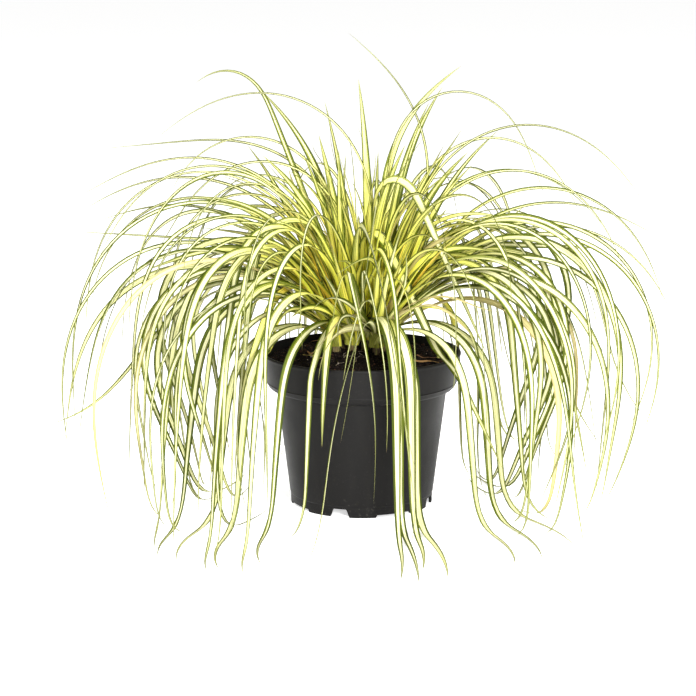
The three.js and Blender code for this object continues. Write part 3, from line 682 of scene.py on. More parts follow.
class Value:
    """What a material's node gives out. Arithmetic on it adds the nodes that work it out."""

    def __init__(self, shader, socket):
        self.shader = shader
        self.socket = socket

    def __add__(self, other):
        return self.shader.maths("ADD", self, other)

    def __sub__(self, other):
        return self.shader.maths("SUBTRACT", self, other)

    def __mul__(self, other):
        return self.shader.maths("MULTIPLY", self, other)

    def __abs__(self):
        return self.shader.maths("ABSOLUTE", self)


class Shader:
    """A material's nodes. Places and noise scales are in metres, as the meshes are."""

    def __init__(self, name):
        self.material = bpy.data.materials.new(name)
        self.material.use_nodes = True
        self.nodes = self.material.node_tree.nodes
        self.inputs = self.nodes["Principled BSDF"].inputs

    def feed(self, socket, value):
        if isinstance(value, Value):
            self.material.node_tree.links.new(value.socket, socket)
        else:
            socket.default_value = colour(value) if isinstance(value, str) else value

    def add(self, kind, inputs, output=0, **settings):
        """Adds a node. Its inputs are given by name or by number."""
        node = self.nodes.new("ShaderNode" + kind)
        for name, setting in settings.items():
            setattr(node, name, setting)
        for socket, value in inputs.items():
            self.feed(node.inputs[socket], value)
        return Value(self, node.outputs[output])

    def maths(self, operation, *values):
        return self.add("Math", dict(enumerate(values)), operation=operation)

    def step(self, value, low, high, start=0, end=1):
        """Rises smoothly from start to end as the value goes from low to high."""
        inputs = dict(enumerate((value, low, high, start, end)))
        return self.add("MapRange", inputs, interpolation_type="SMOOTHSTEP")

    def ribs(self, across, count):
        return self.maths("SINE", across * count)

    def blend(self, share, first, second):
        return self.add("Mix", {0: share, 6: first, 7: second}, 2, data_type="RGBA")

    def coats(self, base, *coats):
        """A colour with others laid over it, each as far as its share says."""
        for share, coat in coats:
            base = self.blend(share, base, coat)
        return base

    def split(self, vector):
        first = self.add("SeparateXYZ", {0: vector})
        return [Value(self, socket) for socket in first.socket.node.outputs]

    def layer(self, name):
        """The three numbers of a layer of the mesh."""
        return self.split(self.add("Attribute", {}, "Vector", attribute_name=name))

    def place(self):
        return self.add("TexCoord", {}, "Object")

    def noise(self, place, scale, detail=3, rough=0.5):
        """Noise at a place, which is a vector or its three numbers."""
        if isinstance(place, tuple):
            place = self.add("CombineXYZ", dict(enumerate(place)))
        inputs = {"Vector": place, "Scale": scale, "Detail": detail, "Roughness": rough}
        return self.add("TexNoise", inputs)

    def finish(self, base, roughness, specular=0.5, height=None, depth=0):
        """The material. depth is in millimetres and says how far the height stands out."""
        self.feed(self.inputs["Base Color"], base)
        self.feed(self.inputs["Roughness"], roughness)
        self.feed(self.inputs["Specular IOR Level"], specular)
        if height:
            bump = self.add("Bump", {"Distance": depth * MM, "Height": height})
            self.feed(self.inputs["Normal"], bump)
        return self.material


def leaf_material():
    """Variegated blades: cream with green margins, streaks and fine veins, and dark edges."""
    s = Shader("variegated_leaf")
    across, length, share = s.layer("strip")
    tone, age, kind = s.layer("leaf")
    seed = tone * 57
    broad = s.noise((across * 1.6, length * 0.6, seed), 1.5)
    streak = s.noise((across * 4.2, length * 0.22, kind * 41), 1.6)
    fine = s.noise((across * 12, length * 0.5, seed), 1.5, 2)
    grain = s.noise((across * 3, length * 2, seed), 6, 4)
    wobble = (broad - 0.5) * 0.3
    aside = abs(across + wobble + (kind - 0.5) * 0.24)
    margin = tone * 0.34 + s.step(length, 0.3, 1.9, 0.62, 0.3) - s.step(share, 0.35, 0.9, 0, 0.1)
    inside = aside - margin
    # The green margins, darker away from the crown, and a pale line in each
    green = s.step(inside, -0.06, 0.06)
    streaky = s.step(streak, 0.35, 0.65)
    near_green = s.blend(streaky, "36420a", "6a7610")
    far_green = s.blend(streaky, "2c3604", "4c580a")
    leaf_green = s.blend(s.step(length, 0.8, 2), near_green, far_green)
    leaf_green = s.blend(s.step(fine, 0.5, 0.72, 0, 0.3), leaf_green, "8d9a26")
    line = abs(inside - (kind * 0.1 + 0.16))
    line = s.step(line, 0.02, 0.05, 1, 0) * s.step(streak, 0.4, 0.55, 0, 0.7)
    # The cream runs from yellow at the base to pale, in long streaks. The richer yellow low down is
    # partly the blade's own colour and partly painted shade: the saturated tone that cream blades
    # take in the shaded crown
    patch = s.step(broad, 0.4, 0.62)
    deep = s.blend(patch, "eede40", "dce038")
    rich_with_painted_shade = s.blend(s.step(length, 0.3, 1.5), deep, s.blend(patch, "e8de70", "dcdc64"))
    golden = s.step(kind, 0.82, 0.9) * s.step(share, 0.1, 0.4, 0.8, 0)
    pale = s.blend(tone, "dddbb4", "d3d194")
    whiter = s.step(streak, 0.42, 0.62) * s.step(length, 0.8, 2.5, 0.1, 0.55)
    veins = s.step(streak, 0.57, 0.6) * s.step(fine, 0.3, 0.5)
    edge = s.step(abs(across) + wobble * 0.3, 0.82, 0.95, 0, 0.9)
    faded = s.step(age, 0.94, 0.97, 0, 0.75) * s.step(grain, 0.3, 0.6, 0.5, 1)
    base = s.coats(
        rich_with_painted_shade,
        (golden, "efb934"),
        (s.step(length, 1, 2.4, 0, 0.95), pale),
        (whiter, "e0deb8"),
        (s.step(fine, 0.55, 0.66) * 0.5, "b4b43c"),
        (veins * 0.85, leaf_green),
        (green, leaf_green),
        (line * green, "d6d37c"),
        (edge, s.blend(kind, "222b02", "3c4a06")),
        # The foot is greener and duller, old leaves fade to tan, and the tips go grey and dry
        (s.step(share, 0, 0.12, 0.5, 0), "c6c658"),
        (faded, s.blend(grain, "d3c58c", "baa26a")),
        (s.step(share, 0.7, 1, 0, 0.6), "8c9044"),
        (s.step(share, 0.98, 1, 0, 0.8), "85693f"),
    )
    height = s.ribs(across, 27) * 0.5 + grain
    return s.finish(base, s.step(grain, 0.3, 0.7, 0.34, 0.48), 0.12, height, depth=0.14)


def sheath_material():
    """The pale wrapped leaf bases, which dry to brown at the soil."""
    s = Shader("leaf_sheath")
    across, length, share = s.layer("strip")
    tone, age, kind = s.layer("leaf")
    grain = s.noise((across * 3, length, tone * 40), 3)
    ribs = s.ribs(across, 34)
    brown = s.blend(grain, "3a2817", "7d6540")
    dried = s.step(share, 0.12, 0.5, 1, 0) * s.step(grain, 0.3, 0.55, 0.35, 1)
    base = s.coats(
        s.blend(tone, "cfd386", "c2cb6e"),
        (s.step(ribs, 0, 1, 0, 0.55) * s.step(grain, 0.35, 0.65), s.blend(kind, "7c8d34", "9aa84a")),
        (s.step(share, 0.35, 1, 0, 0.7), "d8cf6c"),
        (s.step(abs(across), 0.85, 1, 0, 0.6), "6b7a2c"),
        (dried, brown),
        (age * s.step(grain, 0.2, 0.6, 0.6, 1), brown),
    )
    return s.finish(base, 0.5, height=ribs + grain, depth=0.2)


def dry_material():
    """Dead leaves and fibres. Age runs from green straw at 0 to dark brown at 1."""
    s = Shader("dry_leaf")
    across, length, _ = s.layer("strip")
    tone, age, _ = s.layer("leaf")
    grain = s.noise((across * 2.5, length, tone * 30), 9, 4)
    base = s.coats(
        s.blend(s.step(abs(across), 0.4, 0.75), "d9d07c", "7f8c3c"),
        (s.step(age, 0.1, 0.5), s.blend(grain, "b98d56", "8a5a33")),
        (s.step(age, 0.5, 0.9), s.blend(grain, "402a1b", "241712")),
        (s.step(tone, 0.93, 0.97, 0, 0.8), "9a8d78"),
    )
    return s.finish(base, 0.8, height=s.ribs(across, 20) + grain, depth=0.2)


def plastic_material():
    """Charcoal moulded plastic with a fine grain, faint scuffs and dust low on the wall."""
    s = Shader("pot_plastic")
    at = s.place()
    x, y, z = s.split(at)
    grain = s.noise(at, 900, rough=0.6)
    cloud = s.noise(at, 14, 4)
    flow = s.noise((x, y, z * 0.12), 60)
    low = s.step(z, 0, 0.03, 1, 0)
    specks = s.step(s.noise(at, 420, 2), 0.62, 0.72)
    scratches = s.noise((x * 4, y, z * 22), 26, 2)
    base = s.coats(
        s.blend(cloud, "0a0909", "0f0e0d"),
        (s.step(flow, 0.45, 0.75, 0, 0.35), "181715"),
        (specks * (low * 0.5 + 0.12), "34322e"),
        (s.step(scratches, 0.71, 0.76, 0, 0.3), "282724"),
    )
    rough = s.step(cloud, 0.3, 0.7, 0.42, 0.56)
    return s.finish(base, rough, 0.14, grain + flow * 0.8, depth=0.12)


def soil_material():
    """Dark moist peat with reddish-brown and near-black crumbs."""
    s = Shader("peat_soil")
    at = s.place()
    crumbs = s.add("TexVoronoi", {"Vector": at, "Scale": 420}, "Distance")
    grain = s.noise(at, 520, 5, 0.65)
    cloud = s.noise(at, 60)
    base = s.coats(
        s.blend(s.step(grain, 0.35, 0.65), "070403", "120b08"),
        (s.step(cloud, 0.5, 0.75, 0, 0.6), "180e0a"),
        (s.step(crumbs, 0, 0.35, 0.35, 0), "302017"),
        (s.step(s.noise(at, 1400, 1), 0.74, 0.78, 0, 0.7), "a8968a"),
    )
    return s.finish(base, 0.93, 0.1, grain + crumbs, depth=1.2)


def crumb_material():
    """Loose crumbs of soil and grains of perlite. Tone picks the colour of each."""
    s = Shader("soil_crumbs")
    tone, _, _ = s.layer("leaf")
    grain = s.noise(s.place(), 1500)
    base = s.coats(
        s.blend(s.step(tone, 0, 0.6), "080504", "160e09"),
        (s.step(tone, 0.7, 0.95), "402a1d"),
        (s.step(tone, 0.97, 0.975), "9c9186"),
        (grain * 0.4, "1c120d"),
    )
    return s.finish(base, 0.92, 0.15, grain, depth=0.4)


# --- The pot ---

POT_TURNS = 180
FOOT_RADIUS = 68
FOOT_TOP = 8.6
FLOOR_LOW = 9
FLOOR_TOP = 11
# Radius, height and rounding of the wall's corners, from the middle of the underside round the rim
POT_CORNERS = [
    (0, FLOOR_LOW, 0),
    (65.6, FLOOR_LOW, 1),
    (65.6, 0, 0.5),
    (FOOT_RADIUS, 0, 0.7),
    (68.15, 10, 0.3),
    (68.8, 11, 0.4),
    (81.5, 112, 1.5),
    (88.5, 113.3, 3.5),
    (90.9, 118.2, 0.4),
    (91.35, 118.7, 0.3),
    (91.35, 119.3, 0.3),
    (91.05, 119.8, 0.3),
    (94.4, 143.6, 0.6),
    (RIM_RADIUS, 145.2, 0.6),
    (94.5, POT_HEIGHT, 0.9),
    (92.4, POT_HEIGHT, 0.7),
    (89, 119, 3),
    (79.5, 114, 3),
    (66.8, FLOOR_TOP, 2),
    (0, FLOOR_TOP, 0),
]
NOTCHES = [
    # turn, height, width at the top, width at the foot
    *((252 + 90 * i, 8, 12, 20) for i in range(4)),
    *((297 + 90 * i, 2.5, 34, 38) for i in range(4)),
]
NOTCH_ROUND = (0, 0.12, 0.3, 0.7, 0.88, 1)  # where a notch's side gets points
DRAIN_HOLES = 8
DRAIN_RING = 44
DRAIN_RADIUS = 5
DRAIN_SIDES = 28
POT_SHARP = 35


def rounded(corners, steps=4):
    """The corners as a profile, each of them rounded from as far away as its radius."""
    profile = [corners[0][:2]]
    for (ax, ay, _), (bx, by, radius), (cx, cy, _) in zip(corners, corners[1:], corners[2:]):
        corner = np.array((bx, by), float)
        before = np.array((ax, ay)) - corner
        after = np.array((cx, cy)) - corner
        reach = min(radius, np.linalg.norm(before) / 2.2, np.linalg.norm(after) / 2.2)
        start = corner + before / np.linalg.norm(before) * reach
        end = corner + after / np.linalg.norm(after) * reach
        for t in np.linspace(0, 1, steps + 1):
            profile.append((1 - t) ** 2 * start + 2 * t * (1 - t) * corner + t * t * end)
    return [*profile, corners[-1][:2]]


def notch_height(turn):
    """How far the foot's lower edge is cut away at a turn, in degrees."""
    height = 0.0
    for centre, tall, top, foot in NOTCHES:
        off = math.radians(abs((turn - centre + 180) % 360 - 180)) * FOOT_RADIUS
        height = max(height, tall * float(ramp(off, foot / 2, top / 2)))
    return height


def pot_turns():
    """Even turns round the pot, with more of them where a notch's side climbs."""
    turns = {round(360 * i / POT_TURNS, 3) for i in range(POT_TURNS)}
    for centre, _, top, foot in NOTCHES:
        for share in NOTCH_ROUND:
            off = math.degrees(mix(top, foot, share) / 2 / FOOT_RADIUS)
            turns |= {round((centre + side * off) % 360, 3) for side in (-1, 1)}
    return sorted(turns)


def make_pot():
    profile = rounded(POT_CORNERS)
    turns = pot_turns()
    notches = [notch_height(turn) for turn in turns]
    points = []
    for radius, z in profile[1:-1]:
        foot_share = max(0, 1 - z / FOOT_TOP)
        for turn, notch in zip(turns, notches):
            angle = math.radians(turn)
            height = z + notch * foot_share
            points.append((radius * math.cos(angle), radius * math.sin(angle), height))
    points += [(0, 0, FLOOR_LOW), (0, 0, FLOOR_TOP)]
    faces = turned_faces(len(profile) - 2, len(turns))
    pot = make_piece("nursery_pot", points, *faces, plastic_material())
    drill(pot)
    pot.data.set_sharp_from_angle(angle=math.radians(POT_SHARP))
    place(pot, "pot_plastic", "pot")


def drill(pot):
    """Cuts the drain holes through the pot's floor."""
    points, loops, sizes = [], [], []
    hole_loops, hole_sizes = turned_faces(2, DRAIN_SIDES)
    ends = (FLOOR_LOW - 4, FLOOR_TOP + 4)
    for hole in range(DRAIN_HOLES):
        turn = 2 * math.pi * hole / DRAIN_HOLES
        x, y = DRAIN_RING * math.cos(turn), DRAIN_RING * math.sin(turn)
        loops += [len(points) + corner for corner in hole_loops]
        sizes += hole_sizes
        for z in ends:
            for i in range(DRAIN_SIDES):
                angle = 2 * math.pi * i / DRAIN_SIDES
                aside, ahead = DRAIN_RADIUS * math.cos(angle), DRAIN_RADIUS * math.sin(angle)
                points.append((x + aside, y + ahead, z))
        points += [(x, y, z) for z in ends]
    cutter = make_piece("drain_cutter", points, loops, sizes, pot.data.materials[0])
    cut = pot.modifiers.new("drain", "BOOLEAN")
    cut.object = cutter
    cut.operation = "DIFFERENCE"
    cut.solver = "EXACT"
    bpy.context.view_layer.update()
    depsgraph = bpy.context.evaluated_depsgraph_get()
    drilled = bpy.data.meshes.new_from_object(pot.evaluated_get(depsgraph))
    pot.modifiers.clear()
    pot.data = drilled
    bpy.data.objects.remove(cutter)


# --- The soil ---

SOIL_RIM_RADIUS = 90.6
SOIL_BOTTOM = 11.4
SOIL_TURNS = 240
SOIL_FINE_RINGS = 80
# Radius and height of the plug's side, inside the pot's wall
SOIL_SIDE = [(66.4, SOIL_BOTTOM), (79.1, 114), (88.6, 119), (SOIL_RIM_RADIUS, SOIL_EDGE_Z - 1.5)]


def soil_surface(x, y):
    """The mound with its lumps: low swells, clods and crumbs."""
    at = Vector((x, y, 0))
    swell = noise.noise(at / 17) * 1.6
    clods = noise.noise(at / 5.5 + Vector((7, 3, 1))) * 1.5
    crumbs = abs(noise.noise(at / 1.9 + Vector((1, 9, 4)))) * 1.5
    fine = noise.noise(at / 0.9) * 0.35
    near_wall = ramp(math.hypot(x, y), SOIL_RIM_RADIUS, SOIL_RIM_RADIUS - 10)
    return float(soil_height(x, y)) - 0.8 + (swell + clods) * near_wall + crumbs + fine


def make_soil():
    rings = [(radius, lambda x, y, z=z: z) for radius, z in SOIL_SIDE]
    for k in range(SOIL_FINE_RINGS):
        rings.append((SOIL_RIM_RADIUS * (1 - (k + 0.25) / SOIL_FINE_RINGS), soil_surface))
    points = []
    for radius, height in rings:
        for i in range(SOIL_TURNS):
            angle = 2 * math.pi * i / SOIL_TURNS
            x, y = radius * math.cos(angle), radius * math.sin(angle)
            points.append((x, y, height(x, y)))
    points += [(0, 0, SOIL_BOTTOM), (0, 0, soil_surface(0, 0))]
    faces = turned_faces(len(rings), SOIL_TURNS)
    place(make_piece("peat_soil", points, *faces, soil_material()), "soil", "potting_soil")


# An icosahedron's corners, for crumbs
GOLDEN = (1 + math.sqrt(5)) / 2
SIGNS = [(s, t * GOLDEN) for s in (-1, 1) for t in (-1, 1)]
ICO_POINTS = np.array(
    [(s, t, 0) for s, t in SIGNS] + [(0, s, t) for s, t in SIGNS] + [(t, 0, s) for s, t in SIGNS]
) / math.hypot(1, GOLDEN)
ICO_EDGE = 2 / math.hypot(1, GOLDEN)
CRUMBS = 2300
PERLITE_TONE = 0.955


def ico_faces():
    """The icosahedron's triangles: each three corners that are all neighbours, turned outwards."""
    faces = []
    for corners in combinations(range(len(ICO_POINTS)), 3):
        p, q, r = ICO_POINTS[list(corners)]
        if max(math.dist(p, q), math.dist(q, r), math.dist(p, r)) < ICO_EDGE * 1.01:
            a, b, c = corners
            is_outward = np.dot(np.cross(q - p, r - p), p) > 0
            faces.append((a, b, c) if is_outward else (a, c, b))
    return np.array(faces)


def scatter_spot(rng):
    """A place on the soil, evenly over its area, with its height."""
    radius = math.sqrt(rng.uniform(0, 1)) * (SOIL_RIM_RADIUS - 2.5)
    angle = rng.uniform(0, 2 * math.pi)
    x, y = radius * math.cos(angle), radius * math.sin(angle)
    return x, y, soil_surface(x, y)


def make_crumbs():
    """Lumps of peat and a few grains of perlite, loose on the soil."""
    rng = np.random.default_rng(41)
    corners = len(ICO_POINTS)
    points, looks = [], []
    for _ in range(CRUMBS):
        x, y, z = scatter_spot(rng)
        size = 0.5 + 1.5 * rng.random() ** 2.5
        tone = rng.random()
        if tone > PERLITE_TONE:
            size *= 0.55
        scale = size * rng.uniform(0.7, 1.3, 3)
        shape = ICO_POINTS * scale * rng.uniform(0.75, 1.2, (corners, 1))
        turn = rng.uniform(0, 2 * math.pi)
        shape = shape @ np.array(Matrix.Rotation(-turn, 3, "Z"))
        points.append(shape + (x, y, z + 0.15 * size))
        looks.append(np.broadcast_to((tone, 0, 0), (corners, 3)))
    loops = (ico_faces() + corners * np.arange(CRUMBS)[:, None, None]).ravel()
    sizes = np.full(len(loops) // 3, 3)
    layers = {"leaf": np.concatenate(looks)}
    crumbs = make_piece("soil_crumbs", np.concatenate(points), loops, sizes, crumb_material(), layers)
    place(crumbs, "soil")


FIBRES = 160
ROOTS = 14
ROOT_TONE = 0.98


def make_fibres(material):
    """Root hairs and peat fibres that lie on the soil, with pale roots by the crown."""
    rng = np.random.default_rng(77)
    fibres = Ribbons()
    for i in range(FIBRES):
        x, y, _ = scatter_spot(rng)
        heading, curl = rng.uniform(0, 2 * math.pi), rng.uniform(-0.5, 0.5)
        length, width = rng.uniform(2, 6), rng.uniform(0.1, 0.2)
        is_root = i < ROOTS
        if is_root:
            x, y = rng.normal(-14, 9), rng.normal(-38, 5)
            length, width = rng.uniform(5, 12), 0.3
        line = []
        for k in range(6):
            height = soil_surface(x, y) + 0.5 + math.sin(k / 5 * math.pi) * rng.uniform(0, 1.2)
            line.append((x, y, height))
            x += length / 5 * math.cos(heading)
            y += length / 5 * math.sin(heading)
            heading += curl
            if math.hypot(x, y) > SOIL_RIM_RADIUS - 1.5:
                break
        if len(line) < 4:
            continue
        tone = ROOT_TONE if is_root else rng.uniform(0, 0.94)
        fibres.add(free_spine(line), width, 0.3, width, (tone, rng.uniform(0.75, 1), 0))
    place(fibres.finish("soil_fibres", material), "soil")


DEAD_LEAVES = [
    # node, x, y, heading, length, width, age
    ("dry_leaf_right", 40, -44, 12, 34, 5, 0.42),
    ("leaf_stub_right", 72, -22, 80, 16, 6, 0.05),
    ("dry_leaf_back", -12, 56, 188, 38, 4, 0.6),
]
SCRAPS = [
    # x, y, heading, length, width, age
    (-40, -30, 160, 17, 4.5, 0.3),
    (-46, -24, 120, 12, 3.5, 0.5),
    (-30, -38, 200, 11, 3, 0.6),
    (52, -30, 20, 20, 3, 0.7),
    (24, 44, 60, 22, 4, 0.5),
]
DEAD_LEAF_LIFT = 1.6
DEAD_LEAF_RISE = 1.2
DEAD_LEAF_THICK = 0.3


def add_dead_leaf(ribbons, rng, x, y, heading, length, width, age):
    """A curled strip that lies along a wavering line on the soil, with its ends lifted."""
    share = np.linspace(0, 1, 25)
    turn = math.radians(heading)
    along = length * share
    aside = 0.7 * np.sin(7 * share + x)
    line_x = x + along * math.cos(turn) - aside * math.sin(turn)
    line_y = y + along * math.sin(turn) + aside * math.cos(turn)
    lifted = DEAD_LEAF_RISE * (2 * share - 1) ** 2 + 0.4 * np.sin(11 * share + y)
    line_z = soil_height(line_x, line_y) + DEAD_LEAF_LIFT + lifted
    spine = free_spine(np.stack([line_x, line_y, line_z], 1))
    half = width / 2 * (1 - 0.5 * share**2) * (0.85 + 0.15 * np.sin(9 * share + x))
    wrap = 0.9 + 0.5 * np.sin(5 * share + y)
    looks = (rng.uniform(0, 0.9), age, rng.random())
    ribbons.add(spine, half, 0, DEAD_LEAF_THICK, looks, wrap)


def make_dead_leaves(material):
    rng = np.random.default_rng(5)
    for node, *shape in DEAD_LEAVES:
        leaf = Ribbons()
        add_dead_leaf(leaf, rng, *shape)
        place(leaf.finish(f"{node}_curled", material), "dry_leaf", node)
    scraps = Ribbons()
    for shape in SCRAPS:
        add_dead_leaf(scraps, rng, *shape)
    place(scraps.finish("soil_scraps", material), "dry_leaf")


# --- The sedge ---

SMOOTHING = 4
SMOOTH_AFTER = 6
RIM_CLEAR = 1.3
GROUND_CLEAR = 1
SHEATHS = 5
SHEATH_SUNK = 3

# More blades, chosen one by one, that the solids leave out
LED_FILLERS = [
    # tuft, heading, lift, tip pitch, bend from, bend to, drift, length, width
    (2, 314, 87, -60, 0.24, 0.31, 0, 380, 12),
    (4, 200, 80, -82, 0.14, 0.5, 40, 440, 9),
    (12, 208, 76, -80, 0.16, 0.52, 30, 420, 9),
    (12, 205, 66, -62, 0.1, 0.36, 120, 330, 8),
    (5, 12, 50, -4, 0.25, 0.6, 0, 260, 10),
    (5, 340, 62, -84, 0.08, 0.5, -20, 420, 9),
    (8, 350, 66, -78, 0.12, 0.6, -20, 440, 8),
    (5, 350, 46, -116, 0.04, 0.6, -80, 500, 8),
    (11, 355, 54, -112, 0.06, 0.6, -90, 500, 9),
    (8, 335, 52, -118, 0.06, 0.7, -60, 500, 8),
    (5, 5, 40, -114, 0.04, 0.6, -100, 500, 8),
    (8, 0, 60, -108, 0.1, 0.65, -110, 500, 8),
    (7, 190, 54, -112, 0.06, 0.6, 80, 500, 8),
    (12, 195, 46, -118, 0.06, 0.7, 60, 490, 8),
    (4, 180, 54, -112, 0.08, 0.65, 100, 500, 8),
    (12, 180, 42, -112, 0.04, 0.6, 90, 500, 8),
    (4, 205, 48, -118, 0.06, 0.75, 40, 500, 8),
    (1, 160, 86, 74, 0.3, 1.1, 0, 200, 12),
    (2, 20, 86, 60, 0.3, 1.1, 0, 190, 12),
    (4, 170, 76, 40, 0.3, 1.1, 0, 200, 12),
    (5, 10, 76, 40, 0.3, 1.1, 0, 200, 12),
    (7, 215, 74, 20, 0.2, 1.1, 0, 160, 12),
    (10, 345, 70, -10, 0.2, 1, 0, 170, 12),
    (12, 190, 60, -20, 0.1, 0.9, 0, 230, 12),
    (5, 345, 60, -20, 0.1, 0.9, 0, 230, 12),
    (7, 250, 46, -70, 0.04, 0.6, 20, 190, 10),
    (10, 290, 46, -70, 0.04, 0.6, -20, 190, 10),
    (0, 100, 86, 50, 0.3, 1.1, 0, 250, 11),
    (3, 30, 80, 40, 0.3, 1.1, 0, 260, 11),
    (6, 160, 78, 40, 0.3, 1.1, 0, 260, 11),
]
FILLER_ROUNDS = 15
BROAD_ROUNDS = 12
FILLER_TOP = 400
FILLER_LOW = 8
FILLER_TRIES = {"count": 14, "turn": 70, "tilt": 24}
FILLER_TWIST = 70
LED_TOUCHING = 0.14
FILLER_TOUCHING = 0.05


def kept_out(x, y, z):
    """A blade's points, moved off the pot and the ground."""
    radius = np.hypot(x, y)
    out, up = radius - RIM_RADIUS, z - POT_HEIGHT
    at_corner = (out > 0) & (up > 0)
    corner = np.hypot(np.maximum(out, 0), np.maximum(up, 0))
    short = np.maximum(RIM_CLEAR - np.where(at_corner, corner, np.maximum(out, up)), 0)
    to_side = np.where(at_corner, out / np.maximum(corner, 1e-6), out > up)
    to_top = np.where(at_corner, up / np.maximum(corner, 1e-6), out <= up)
    grow = 1 + short * to_side / np.maximum(radius, 1)
    return x * grow, y * grow, np.maximum(z + short * to_top, GROUND_CLEAR)


def smooth_path(path):
    """A blade's path with its kinks rounded, and the pitch that its points have."""
    x, y, z, _, heading, share = path.T.copy()
    free = share * len(path) > SMOOTH_AFTER
    for _ in range(SMOOTHING):
        for line in (x, y, z):
            line[1:-1] = (line[:-2] + 2 * line[1:-1] + line[2:]) / 4
        for line, moved in zip((x, y, z), kept_out(x, y, z)):
            line[free] = moved[free]
    dx, dy, dz = (np.gradient(line) for line in (x, y, z))
    heading = np.unwrap(heading)
    pitch = np.unwrap(np.arctan2(dz, dx * np.cos(heading) + dy * np.sin(heading)))
    return np.stack([x, y, z, pitch, heading, share], axis=1)


def add_blade(ribbons, blade, rng):
    """A blade that is broadest low down, folded along its middle, and ends in a long point."""
    spine = blade_spine(blade, smooth_path(blade.path))
    share = spine.share
    half = blade.width / 2 * mix(1.5, 1.12, ramp(share, 0.1, 0.42)) * (1 - share**2) ** 0.9
    half = np.maximum(half, 0.16)
    foot_fold = 30 if blade.width < 6.5 else 14
    fold = np.radians(mix(foot_fold, rng.uniform(6, 22), ramp(share, 0.02, 0.2)))
    tone = rng.random() * mix(0.5, 1, ramp(blade.width, 4, 8))
    looks = (tone, blade.age, rng.random())
    thick = mix(0.5, 0.22, share) * np.minimum(1, half)
    # Blades that lift little are coloured as if further along, so the richer yellow, partly painted
    # crown shade, ends sooner on them
    older = mix(170, 0, ramp(blade.lift, 24, 62))
    ribbons.add(spine, half, fold, thick, looks, older=older)


def add_sheaths(ribbons, foot, rng):
    """The overlapping leaf bases round a tuft's foot: short channels that end in a point."""
    share = np.linspace(0, 1, 21)
    for i in range(SHEATHS):
        turn = foot.angle + 2 * math.pi * i / SHEATHS + rng.uniform(-0.4, 0.4)
        out = np.array((math.cos(turn), math.sin(turn), 0))
        tall = foot.tall + rng.uniform(18, 60)
        lean = rng.uniform(0.02, 0.22)
        reach = 1.4 + 1.8 * share + lean * tall * share * share
        line = np.outer(reach, out) + (foot.x, foot.y, foot.z - SHEATH_SUNK)
        line[:, 2] += (tall + SHEATH_SUNK) * share
        half = rng.uniform(4.5, 6.5) * np.maximum(1 - share**1.6, 0.02)
        age = 0.9 if rng.random() < 0.2 else rng.uniform(0, 0.2)
        looks = (rng.random(), age, rng.random())
        ribbons.add(free_spine(line, -out), half, 0, 0.4, looks, wrap=mix(1.7, 0.5, share))


class CrowdedRoom(Room):
    """The room for more blades, which may brush against the others and start among them."""

    touching = LED_TOUCHING

    def is_free(self, spine, tuft, is_strict):
        owner, passed = self.met(spine, 0)
        if owner is None or np.any((owner == ROOM_POT) & (passed >= START_SUNK)):
            return False
        return np.mean((owner != 0) & (passed >= SHARED_LENGTH)) < self.touching


def filler_blade(tuft, order, draw):
    """One more blade: broad and upright in the first rounds, then long and hanging at the sides."""
    blade = other_blade(tuft, order % BLADES_PER_TUFT, draw)
    if order < BROAD_ROUNDS:
        redraw(blade, draw, width=(7, 10), lift=(45, 86), length=(100, 230), tip_pitch=(-30, 60))
        redraw(blade, draw, roll=(-15, 15))
        blade.bend_from, blade.bend_to = 0.1, 1.1
        blade.twist = FILLER_TWIST * math.cos(math.radians(blade.heading))
        return blade
    to_side = 1 if PLACES[tuft].x > 0 else -1
    blade.heading = 270 + to_side * draw(58, 112)
    redraw(blade, draw, width=(4.2, 9), lift=(42, 70), length=(400, 520), tip_pitch=(-104, -74))
    redraw(blade, draw, bend_from=(0, 0.06), bend_to=(0.42, 0.8))
    blade.drift = -to_side * draw(-30, 80)
    blade.twist = draw(50, 110) * (1 if draw() < 0.5 else -1)
    while grow_blade(blade)[:, 2].min() < FILLER_LOW:
        blade.length *= 0.95
    return blade


def plant_fillers(tufts):
    """Adds blades to the tufts: the chosen ones first, then round by round for all tufts."""
    room = CrowdedRoom()
    for blades in tufts:
        for blade in blades:
            room.take(blade_spine(blade, pick_stations(blade.path)), blade.tuft)
    draw = Draw(SEED + 1)
    for row in LED_FILLERS:
        blade = place_blade(room, leading_blade(row, FILLER_TWIST), FILLER_TRIES, draw)
        if blade:
            tufts[blade.tuft].append(blade)
    room.touching = FILLER_TOUCHING
    for order in range(FILLER_ROUNDS):
        for tuft in range(TUFTS):
            blade = place_blade(room, filler_blade(tuft, order, draw), FILLER_TRIES, draw)
            if blade and FILLER_LOW < blade.path[:, 2].min() <= blade.path[:, 2].max() < FILLER_TOP:
                tufts[tuft].append(blade)


def make_sedge():
    tufts = plant_sedge(Room())
    plant_fillers(tufts)
    leaf, sheath = leaf_material(), sheath_material()
    rng = np.random.default_rng(SEED)
    for index, blades in enumerate(tufts):
        ribbons, bases = Ribbons(), Ribbons()
        for blade in blades:
            blade.age = rng.random()
            add_blade(ribbons, blade, rng)
        add_sheaths(bases, PLACES[index], rng)
        name = f"tuft_{index + 1:02d}"
        place(ribbons.finish(f"{name}_blades", leaf), "foliage", name)
        place(bases.finish(f"{name}_sheaths", sheath), "foliage", name)


# --- Floor, light and camera, in metres ---

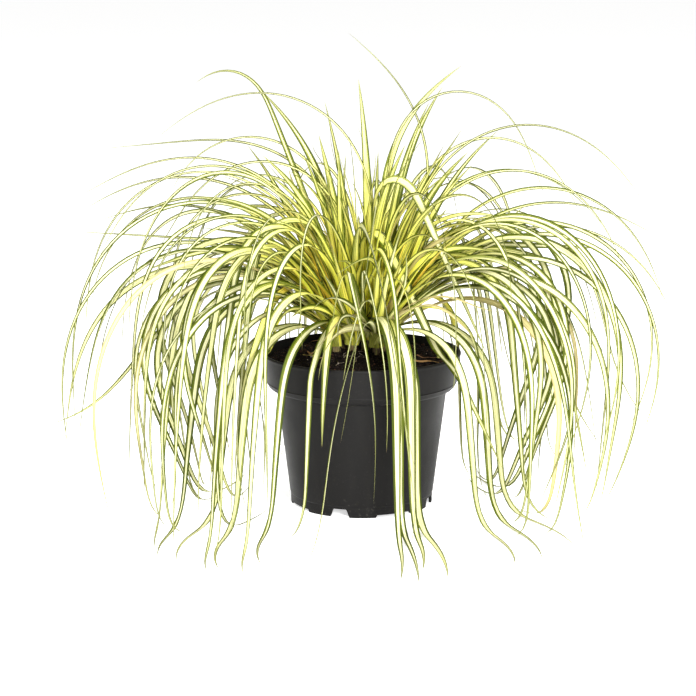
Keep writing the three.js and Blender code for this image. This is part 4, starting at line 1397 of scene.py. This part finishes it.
FLOOR_SIZE = 60
FLOOR_GLOW = 0.62
WORLD_GLOW = 0.4
LIT_SPOT = Vector((0, 0, 0.2))
LIGHTS = [
    # name, spot, size, power in watts
    ("key_light", (-1.2, -1.7, 1.9), 0.6, 57),
    ("fill_light", (0.9, -2.6, 1.0), 0.8, 142),
    ("top_light", (0.3, 0.2, 2.3), 0.8, 56),
]
CAMERA_SPOT = (-0.013, -2.156, 0.588)
CAMERA_DOWN = 11.5
CAMERA_LENS = 119.3
WHITE = (1, 1, 1, 1)


def make_floor():
    half = FLOOR_SIZE / 2 / MM
    corners = [(-half, -half, 0), (half, -half, 0), (half, half, 0), (-half, half, 0)]
    s = Shader("studio_floor")
    s.inputs["Emission Color"].default_value = WHITE
    s.inputs["Emission Strength"].default_value = FLOOR_GLOW
    floor = make_piece("studio_floor", corners, [0, 1, 2, 3], [4], s.finish("efefee", 0.9))


def make_light(name, spot, size, power):
    """A square light that faces the plant."""
    data = bpy.data.lights.new(name, "AREA")
    data.shape = "SQUARE"
    data.size = size
    data.energy = power
    light = add_object(name, data)
    light.location = spot
    light.rotation_mode = "QUATERNION"
    light.rotation_quaternion = (LIT_SPOT - Vector(spot)).to_track_quat("-Z", "Y")


def make_world():
    world = bpy.data.worlds.new("studio")
    world.use_nodes = True
    background = world.node_tree.nodes["Background"].inputs
    background["Color"].default_value = WHITE
    background["Strength"].default_value = WORLD_GLOW
    bpy.context.scene.world = world


def make_camera():
    data = bpy.data.cameras.new("camera")
    data.sensor_width = 36
    data.lens = CAMERA_LENS
    data.clip_end = 100
    camera = add_object("camera", data)
    camera.location = CAMERA_SPOT
    camera.rotation_euler = (math.radians(90 - CAMERA_DOWN), 0, 0)
    bpy.context.scene.camera = camera
    bpy.context.scene.view_settings.view_transform = "Standard"


make_pot()
make_soil()
make_crumbs()
dry = dry_material()
make_fibres(dry)
make_dead_leaves(dry)
make_sedge()
make_floor()
for light in LIGHTS:
    make_light(*light)
make_world()
make_camera()
